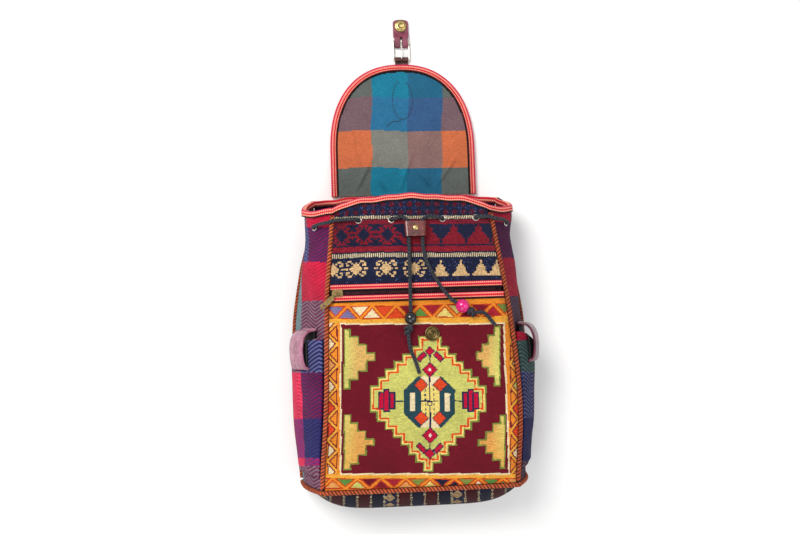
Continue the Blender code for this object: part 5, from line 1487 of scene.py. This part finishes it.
def flap_half(inset, count):
    """The right half of the flap's outline, from its lower corner to its top."""
    half, top = FLAP_HALF - inset, FLAP_TOP - inset - FLAP_SHOULDER
    power = 2 / FLAP_ROUND
    arc = [
        (half * max(0, math.cos(a)) ** power, FLAP_SHOULDER + top * math.sin(a) ** power)
        for a in np.linspace(0, math.pi / 2, count)
    ]
    straight = [(half, h) for h in np.linspace(FLAP_START + GAP, FLAP_SHOULDER, 12)[:-1]]
    return straight + arc


def flap_edge(inset, step=STEP):
    """The flap's outline from its lower right corner round the arch, at an inset, as even points."""
    right_part = flap_half(inset, 60)
    line = np.array([*right_part, *((-x, h) for x, h in right_part[-2::-1])])
    path = np.stack([line[:, 0], line[:, 1], 0 * line[:, 0]], axis=1)
    along = lengths(path)
    spots = np.linspace(0, along[-1], round(0.49 / step))
    return np.stack([np.interp(spots, along, path[:, k]) for k in range(2)], axis=1)


def make_flap_binding():
    low, high = 0.0032 - GAP - BIND, FLAP_FACE + GAP + BIND
    section = [(inset, high) for inset in np.linspace(BIND_LEG, 0.0002, 9)]
    section += [(-0.0009, high - 0.0003), (-0.0013, mix(high, low, 0.35)), (-0.0013, mix(high, low, 0.65))]
    section += [(-0.0009, low + 0.0003)]
    section += [(inset, low) for inset in np.linspace(0.0002, BIND_LEG, INNER_POINTS)]
    rings = []
    for inset, z in section:
        line = flap_edge(inset)
        rings.append(stack(line[:, 0], line[:, 1], z))
    points = np.stack(rings, axis=1)
    n, m = points.shape[:2]
    a, b = np.meshgrid(np.arange(n - 1), binding_shares(m - 1, FLAP_CELLS), indexing="ij")
    uv = cells_of(np.arange(n) * 3, np.arange(m))
    piece = grid_object("flap_ribbon", points, uv, ribbon_colours(b, a), flip=True)
    dress(thicken(piece, 0.0003), BAND, "flap_binding")


def make_zip_ribbons():
    reach = ZIP_SLOT / 2 + RIBBON_WIDTH
    for name, low, node in (
        ("zip_ribbon_low", ZIP_H - reach, "ribbon_lower"),
        ("zip_ribbon_high", ZIP_H + ZIP_SLOT / 2, "ribbon_upper"),
    ):
        half = float(at_height(FRONT_HALF, low + RIBBON_WIDTH)) - SEAM - 3 * GAP
        lean = float(at_height(FRONT_LEAN, low + RIBBON_WIDTH))
        columns = np.linspace(-1, 1, 171)
        rows = np.linspace(low + GAP, low + RIBBON_WIDTH - GAP, 17)

        def place(c, h):
            edge = np.minimum(h - rows[0], rows[-1] - h) / 0.0008
            lift = RIBBON * 0.55 + RIBBON * 0.5 * ease(edge + 0.3)
            s = front_share(lean + c * half, h)
            return front_at(s, h) + front_normal(s, h) * lift[..., None]

        def colours(middle, c, h):
            share = 1 - (h - rows[0]) / (rows[-1] - rows[0])
            picks = np.broadcast_to(np.arange(middle.shape[0])[:, None], share.shape)
            return ribbon_colours(share, picks)

        piece = panel_cells(columns, rows, place, name, colours)
        dress(piece, BAND, node)


make_rim()
make_flap_binding()
make_zip_ribbons()


# The flap's checked lining

CLAY, AZURE, BLUE = np.array([168, 100, 96]), np.array([8, 140, 204]), np.array([32, 96, 168])
PINE, SLATE, AMBER = np.array([28, 108, 104]), np.array([72, 88, 108]), np.array([255, 124, 44])


def flap_colours(x, y):
    """Checks of a plain weave: each is half its warp's yarn and half its weft's."""
    warp, weft = (CLAY, AZURE, BLUE, CLAY), (PINE, SLATE, AMBER, PINE)
    checks = np.array([[rgb(*((down + over) / 2)) for down in warp] for over in weft])
    column = np.digitize(x + 0.8 * np.sin(y / 9), CHECK_COLUMNS)
    row = np.digitize(y + 0.7 * np.sin(x / 14), CHECK_ROWS)
    return checks[row, column] * 0.82


# Creases at the flap's hinge: x, h, angle in degrees, width and height
CREASE_REACH = 0.022
CREASES = (
    (-0.055, 0.420, 62, 0.0028, 0.00352), (-0.030, 0.412, 118, 0.0024, 0.00308),
    (0.002, 0.424, 70, 0.0026, 0.00286), (0.030, 0.416, 128, 0.0030, 0.00330),
    (0.058, 0.428, 55, 0.0026, 0.00308), (-0.066, 0.470, 100, 0.0030, 0.00220),
)
CHECK_COLUMNS, CHECK_ROWS = (371.5, 407.8, 442.0), (97.5, 131.0, 168.0)


def make_flap_lining():
    columns = np.linspace(-1, 1, 131)
    rows = np.linspace(0, 1, 121)
    inset = 0.0045

    def place(c, v):
        h = mix(FLAP_START + 0.0004, FLAP_TOP - inset, v)
        share = np.clip((h - FLAP_SHOULDER) / (FLAP_TOP - inset - FLAP_SHOULDER), 0, 1)
        half = (FLAP_HALF - inset) * np.maximum(0.0, 1 - share**FLAP_ROUND) ** (1 / FLAP_ROUND)
        half = np.maximum(half, 0.0004)
        return stack(c * half, h, FLAP_FACE - 0.0001)

    def relief(points, c, v):
        x, h = points[..., 0], points[..., 1]
        edge = ease((1 - np.abs(c)) * 7) * ease(v * 12) * ease((1 - v) * 9)
        puff = 0.0004 + 0.0007 * wobble(x, h, 0.05, 61)
        for cx, ch, angle, width, tall in CREASES:
            c1, s1 = math.cos(math.radians(angle)), math.sin(math.radians(angle))
            across = -(x - cx) * s1 + (h - ch) * c1
            along = (x - cx) * c1 + (h - ch) * s1
            puff = puff + tall * np.exp(-((across / width) ** 2) - (along / CREASE_REACH) ** 2)
        points[..., 2] += np.maximum(0, puff) * edge
        return points

    def colours(middle, c, v):
        x, y = picture(world(middle))
        colour = yarn(flap_colours(x, y), 0.05, 9, 2)
        across, high = np.abs(middle[..., 0]) / FLAP_HALF, middle[..., 1] - FLAP_SHOULDER
        high = np.maximum(0, high) / (FLAP_TOP - FLAP_SHOULDER)
        inset = (1 - (across**FLAP_ROUND + high**FLAP_ROUND) ** (1 / FLAP_ROUND)) * (FLAP_HALF + 0.02 * high)
        colour[inset < 0.0092] = BLACK
        return colour

    def uv(c, v):
        return np.stack([c * 0.09, v * 0.17], axis=-1)

    piece = panel_cells(columns, rows, place, "flap_check", colours, relief=relief, uv=uv)
    dress(piece, CHECK, "flap_lining")


OVAL, OVAL_HALF = np.array([0.0015, 0.5235]), np.array([0.0135, 0.0260])


def make_oval():
    """The oval line of stitches that holds the buckle's patch, and its loose thread."""
    turn = np.linspace(math.radians(112), math.radians(428), 74)
    oval = OVAL + OVAL_HALF * np.stack([np.cos(turn), np.sin(turn)], axis=1)
    for k in range(0, len(oval) - 1, 2):
        run = np.linspace(oval[k], mix(oval[k], oval[k + 1], 0.95), 4)
        arch = 0.0010 + 0.0006 * np.sin(np.linspace(0, math.pi, 4))
        line = stack(run[:, 0], run[:, 1], FLAP_FACE + arch)
        stitch = tube_object(f"oval_stitch_{k}", line, 0.00035, 6)
        dress(stitch, STITCHES)
    loose = np.array(
        [(0.000, 0.4972), (-0.006, 0.4945), (-0.012, 0.4950), (-0.017, 0.4915), (-0.021, 0.4880)]
    )
    tail = resample(stack(loose[:, 0], loose[:, 1], FLAP_FACE + 0.0018), 0.0016)
    end = tube_object("oval_stitch_end", tail, 0.00025, 6)
    dress(end, STITCHES)


make_flap_lining()
make_oval()


# Cloth that the photograph hides: back, straps, the flap's outer side, lining and zip tape

def make_back():
    """The back's cloth, in the sides' yarns."""
    columns = np.linspace(-1, 1, 141)
    rows = np.linspace(0, 1, 171)

    def place(s, v):
        h = mix(SEAM_H + SEAM, rim_back(s), v)
        half = at_height(BACK_HALF, h)
        return back_at(s * (half - SEAM) / half, h)

    def colours(middle, s, v):
        names = ("plum", "navy", "crimson", "purple", "green", "navy", "mauve")
        row = (np.floor(v * 9.5).astype(int) + (np.abs(s) > 0.45)) % len(names)
        both = [np.array([PLAID[name][k] for name in names])[row] * 0.8 for k in (0, 1)]
        return yarn(both[0], 0.07, 71), yarn(both[1], 0.07, 72)

    def uv(s, v):
        return np.stack([s * 0.14 + 0.3, v * 0.355], axis=-1)

    piece = panel_cells(columns, rows, place, "back_cloth", colours, True, uv=uv)
    dress(thicken(piece, KILIM * 0.8), TWILL, "back_panel")


def make_straps():
    """The shoulder straps' webbing, from the top of the back to its bottom corners."""
    stations = (
        (0.072, 0.372), (0.086, 0.310), (0.098, 0.240),
        (0.104, 0.170), (0.107, 0.110), (0.110, 0.064),
    )
    corner = np.linspace(0, math.pi / 2, 4)
    quarter = np.stack([np.cos(corner), np.sin(corner)], axis=1) * 0.0009
    section = []
    for sx, sz in ((1, 1), (-1, 1), (-1, -1), (1, -1)):
        arc = quarter if sx * sz > 0 else quarter[::-1]
        section += [(sx * (0.0200 + a), 0.0015 + sz * (0.0005 + b)) for a, b in arc]
        if sx == 1 and sz == 1:
            section += [(x, 0.0029) for x in np.linspace(0.019, -0.019, 15)]
        if sx == -1 and sz == -1:
            section += [(x, 0.0001) for x in np.linspace(-0.019, 0.019, 15)]
    section = np.array(section)
    for side, word in ((-1, "left"), (1, "right")):
        path = resample([(side * x, h, 0.0) for x, h in stations], 2 * STEP)
        tangent = unit(np.gradient(path, axis=0))
        wide = np.stack([tangent[:, 1], -tangent[:, 0], 0 * tangent[:, 0]], axis=1)
        upward = np.array([0, 0, 1.0])
        points = path[:, None] + wide[:, None] * section[None, :, :1] + upward * section[None, :, 1:]
        middle = np.array([0, 0, 0.0015])
        first, last = (points[k] * 0.02 + (path[k] + middle) * 0.98 for k in (0, -1))
        points = np.concatenate([first[None], points, last[None]])
        n, m = points.shape[:2]
        across = np.abs((section[:, 0] + np.roll(section[:, 0], -1)) / 2)
        stripe = np.where(across > 0.0165, 0, np.where(across > 0.0125, 1, 2))
        tones = np.array([DARK_RED * 0.7, BLACK, DARK_RED])[stripe]
        colours = yarn(np.broadcast_to(tones, (n - 1, m, 3)), 0.08, 75)
        uv = cells_of(np.arange(n), np.arange(m + 1))
        piece = grid_object(f"strap_webbing_{word}", points, uv, colours, wrap=(False, True), flip=True)
        dress(piece, BAND, f"shoulder_strap_{word}")


def make_flap_outer():
    columns = np.linspace(-1, 1, 111)
    rows = np.linspace(0, 1, 101)

    def place(c, v):
        h = mix(FLAP_START + 0.0006, FLAP_TOP - 0.0008, v)
        share = np.clip((h - FLAP_SHOULDER) / (FLAP_TOP - 0.0008 - FLAP_SHOULDER), 0, 1)
        half = (FLAP_HALF - 0.0008) * np.maximum(0.0, 1 - share**FLAP_ROUND) ** (1 / FLAP_ROUND)
        return stack(c * np.maximum(half, 0.0004), h, 0.0033)

    def colours(middle, c, v):
        x, y = middle[..., 0] * 840 + 400, 700 - middle[..., 1] * 840
        canvas = Canvas(x, y, NAVY * 0.8)
        band = np.floor(y / 20).astype(int) % 3
        canvas.fill(band == 1, DARK_RED * 0.7)
        canvas.fill((np.abs((y / 20) % 1 - 0.5) > 0.44) & ((x / 3.1) % 1 < 0.5), CREAM * 0.7)
        canvas.fill((np.abs((x / 24) % 1 - 0.5) * 1.3 + np.abs((y / 20) % 1 - 0.5) < 0.36), TAN * 0.8)
        return yarn(canvas.colour, 0.16, 78, 2)

    piece = panel_cells(columns, rows, place, "flap_kilim", colours, True)
    dress(thicken(piece, 0.0018), FINE_STITCH, "flap_outer")


def make_body_lining():
    """The lining's bag inside the body, with soft folds."""
    inset = KILIM + COTTON + 6 * GAP
    rings = []

    def ring(h):
        line = offset_outline(outline(lambda place, share: np.full(np.shape(share), h), 0.004), -inset)
        for _ in range(3):
            line = (np.roll(line, 1, axis=0) + 2 * line + np.roll(line, -1, axis=0)) / 4
        line[:, 1] = h
        return line

    floor = ring(0.0380)
    middle = floor.mean(axis=0)
    rings += [mix(middle, floor, k) for k in (0.02, 0.2, 0.4, 0.6, 0.8, 0.95)]
    rings += [ring(h) for h in np.linspace(0.0384, 0.3372, 76)]
    points = np.stack(rings, axis=1)
    inward = middle - points
    inward[..., 1] = 0
    folds = 0.0012 + 0.0010 * wobble(points[..., 0] * 1.3 + points[..., 2], points[..., 1] * 0.5, 0.045, 81)
    rise = ease((points[..., 1:2] - 0.0400) / 0.02)
    points = points + unit(inward) * np.maximum(0, folds)[..., None] * rise
    n, m = points.shape[:2]
    colours = yarn(np.broadcast_to(rgb(46, 46, 50), (n, m - 1, 3)), 0.06, 82)
    uv = cells_of(np.arange(n + 1) * 0.004, np.arange(m) * 0.004)
    piece = grid_object("lining_cloth", points, uv, colours, wrap=(True, False), flip=True)
    dress(thicken(piece, COTTON * 0.8), CHECK, "body_lining")


def make_zip_tape():
    columns = np.linspace(-1, 1, 181)
    rows = np.linspace(ZIP_H - 0.0100, ZIP_H + 0.0100, 21)
    half = float(at_height(FRONT_HALF, ZIP_H + 0.0107)) - SEAM - 3 * GAP
    lean = float(at_height(FRONT_LEAN, ZIP_H + 0.0107))

    def place(c, h):
        return over_front(lean + c * half, h, -0.0006)

    def colours(middle, c, h):
        return yarn(np.broadcast_to(rgb(28, 20, 24), middle.shape), 0.12, 85)

    piece = panel_cells(columns, rows, place, "tape_cloth", colours)
    dress(piece, BAND, "zip_tape")


make_back()
make_straps()
make_flap_outer()
make_body_lining()
make_zip_tape()


# Metal, leather and the buckle

def make_eyelets():
    spots = []
    for i, x in enumerate(EYELETS_X):
        s = front_share(x, CORD_H)
        spots.append((f"eyelet_front_{i + 1}", front_at(s, CORD_H), front_normal(s, CORD_H)))
    for side, word in ((-1, "left"), (1, "right")):
        spots.append((f"eyelet_side_{word}", *side_eyelet(side)))
    profile = [
        (0.0029, -0.0032), (0.0029, 0.0002), (0.0032, 0.0008),
        (0.0038, 0.0009), (0.0043, 0.0004), (0.0043, 0.0001),
    ]
    for name, point, normal in spots:
        ring = turned_object(f"{name}_ring", round_profile(profile), point, normal, 40, flip=True)
        dress(ring, NICKEL, name)


def snap_profile(radius, shares, middle):
    """A snap's profile from shares of its radius and heights, shut at its middle."""
    return round_profile([(radius * share, rise) for share, rise in shares] + [(0.00001, middle)])


def make_snaps():
    x, h = 0.0190, ZIP_H - 0.0507
    point = over_front(x, h, 0.0005)
    socket = (
        (1, -0.0004), (1, 0.0014), (0.95, 0.0023), (0.86, 0.0025),
        (0.74, 0.0022), (0.68, 0.0012), (0.52, 0.0010),
        (0.48, 0.0015), (0.38, 0.0015), (0.34, 0.0010), (0.26, 0.0012), (0.22, 0.0024), (0.10, 0.0027),
    )
    normal = front_normal(front_share(x, h), h)
    piece = turned_object("snap_socket_ring", snap_profile(0.0090, socket, 0.0027), point, normal, 56)
    bronze = metal_material("dark_brass_rings", rgb(132, 112, 70), rgb(96, 80, 48), 0.32, 0.5, 0.0034)
    dress(piece, bronze, "snap_socket")
    stud = (
        (1, -0.0003), (1, 0.0006), (0.94, 0.0011), (0.80, 0.0010), (0.72, 0.0014),
        (0.64, 0.0025), (0.48, 0.0027), (0.36, 0.0025), (0.32, 0.0012), (0.14, 0.0011),
    )
    point = np.array([BUCKLE_X, TAB_END - 0.0090, 2 * LEATHER + 3 * GAP])
    profile = snap_profile(0.0082, stud, 0.0012)
    piece = turned_object("snap_stud_ring", profile, point, (0, 0, 1), 56, "tab")
    bright = metal_material("bright_brass_rings", rgb(226, 200, 134), rgb(196, 164, 98), 0.24, 0.3, 0.0058)
    dress(piece, bright, "snap_stud")


make_eyelets()
make_snaps()


def redo(node, material):
    """A finish on a solid that keeps its own shape."""
    piece = NODES[node]
    for place in piece.material_slots:
        place.link = "OBJECT"
        place.material = material


def make_finishes():
    stopper = leather_material("stopper_leather", rgb(118, 38, 28), rgb(62, 16, 14), 0.24, 0.5)
    plum = leather_material("plum_leather", rgb(150, 66, 92), rgb(92, 30, 50), 0.40, 0.2)
    brown = leather_material("brown_leather", rgb(96, 40, 34), rgb(54, 22, 20), 0.45)
    for finish, *nodes in (
        (cloth_material("lining_cotton", rgb(44, 44, 48), rgb(30, 30, 34), 0.0012, 0.1), "pocket_lining"),
        (stopper, "cord_stopper"),
        (plum, "leather_tab"),
        (brown, "buckle_chape"),
        (BRASS, "stopper_rivet"),
        (metal_material("dark_zip_coil", rgb(58, 34, 38), rgb(22, 16, 20), 0.5, 0.5), "zip_teeth"),
        (ANTIQUE, "zip_slider", "zip_pull"),
        (NICKEL, "buckle_frame", "buckle_prong"),
    ):
        for node in nodes:
            redo(node, finish)


make_finishes()


# Floor and light

def make_stage():
    data = bpy.data.meshes.new("floor")
    size = 6.0
    corners = [(x * size, y * size, 0) for x, y in ((-1, -1), (1, -1), (1, 1), (-1, 1))]
    data.from_pydata(corners, [], [(0, 1, 2, 3)])
    floor = bpy.data.objects.new("floor", data)
    bpy.context.scene.collection.objects.link(floor)
    s = Shade("pale_floor", rough=0.9, specular=0.2)
    tone = s.span(s.noise(3.0, 2.0), 0.3, 0.7, 0.90, 0.93)
    grey = s.node("ShaderNodeCombineColor", 0, (), i0=tone, i1=tone, i2=tone)
    data.materials.append(s.finish(grey))
    backdrop = bpy.data.worlds.new("studio")
    bpy.context.scene.world = backdrop
    backdrop.use_nodes = True
    sky = backdrop.node_tree.nodes["Background"]
    sky.inputs[0].default_value = (1.0, 0.99, 0.98, 1.0)
    sky.inputs[1].default_value = 0.47
    for name, place, power, width, tint in (
        ("key", (-0.8, 0.8, 1.7), 31.0, 0.9, (1.0, 0.98, 0.96)),
        ("fill", (1.2, -0.4, 1.5), 9.0, 1.4, (0.96, 0.98, 1.0)),
        ("front", (-0.3, -1.3, 1.2), 8.0, 1.2, (1.0, 1.0, 1.0)),
    ):
        lamp = bpy.data.lights.new(name, "AREA")
        lamp.energy, lamp.size, lamp.color = power, width, tint
        light = bpy.data.objects.new(name, lamp)
        light.location = place
        light.rotation_euler = (Vector((0, 0, 0.05)) - Vector(place)).to_track_quat("-Z", "Y").to_euler()
        bpy.context.scene.collection.objects.link(light)


make_stage()
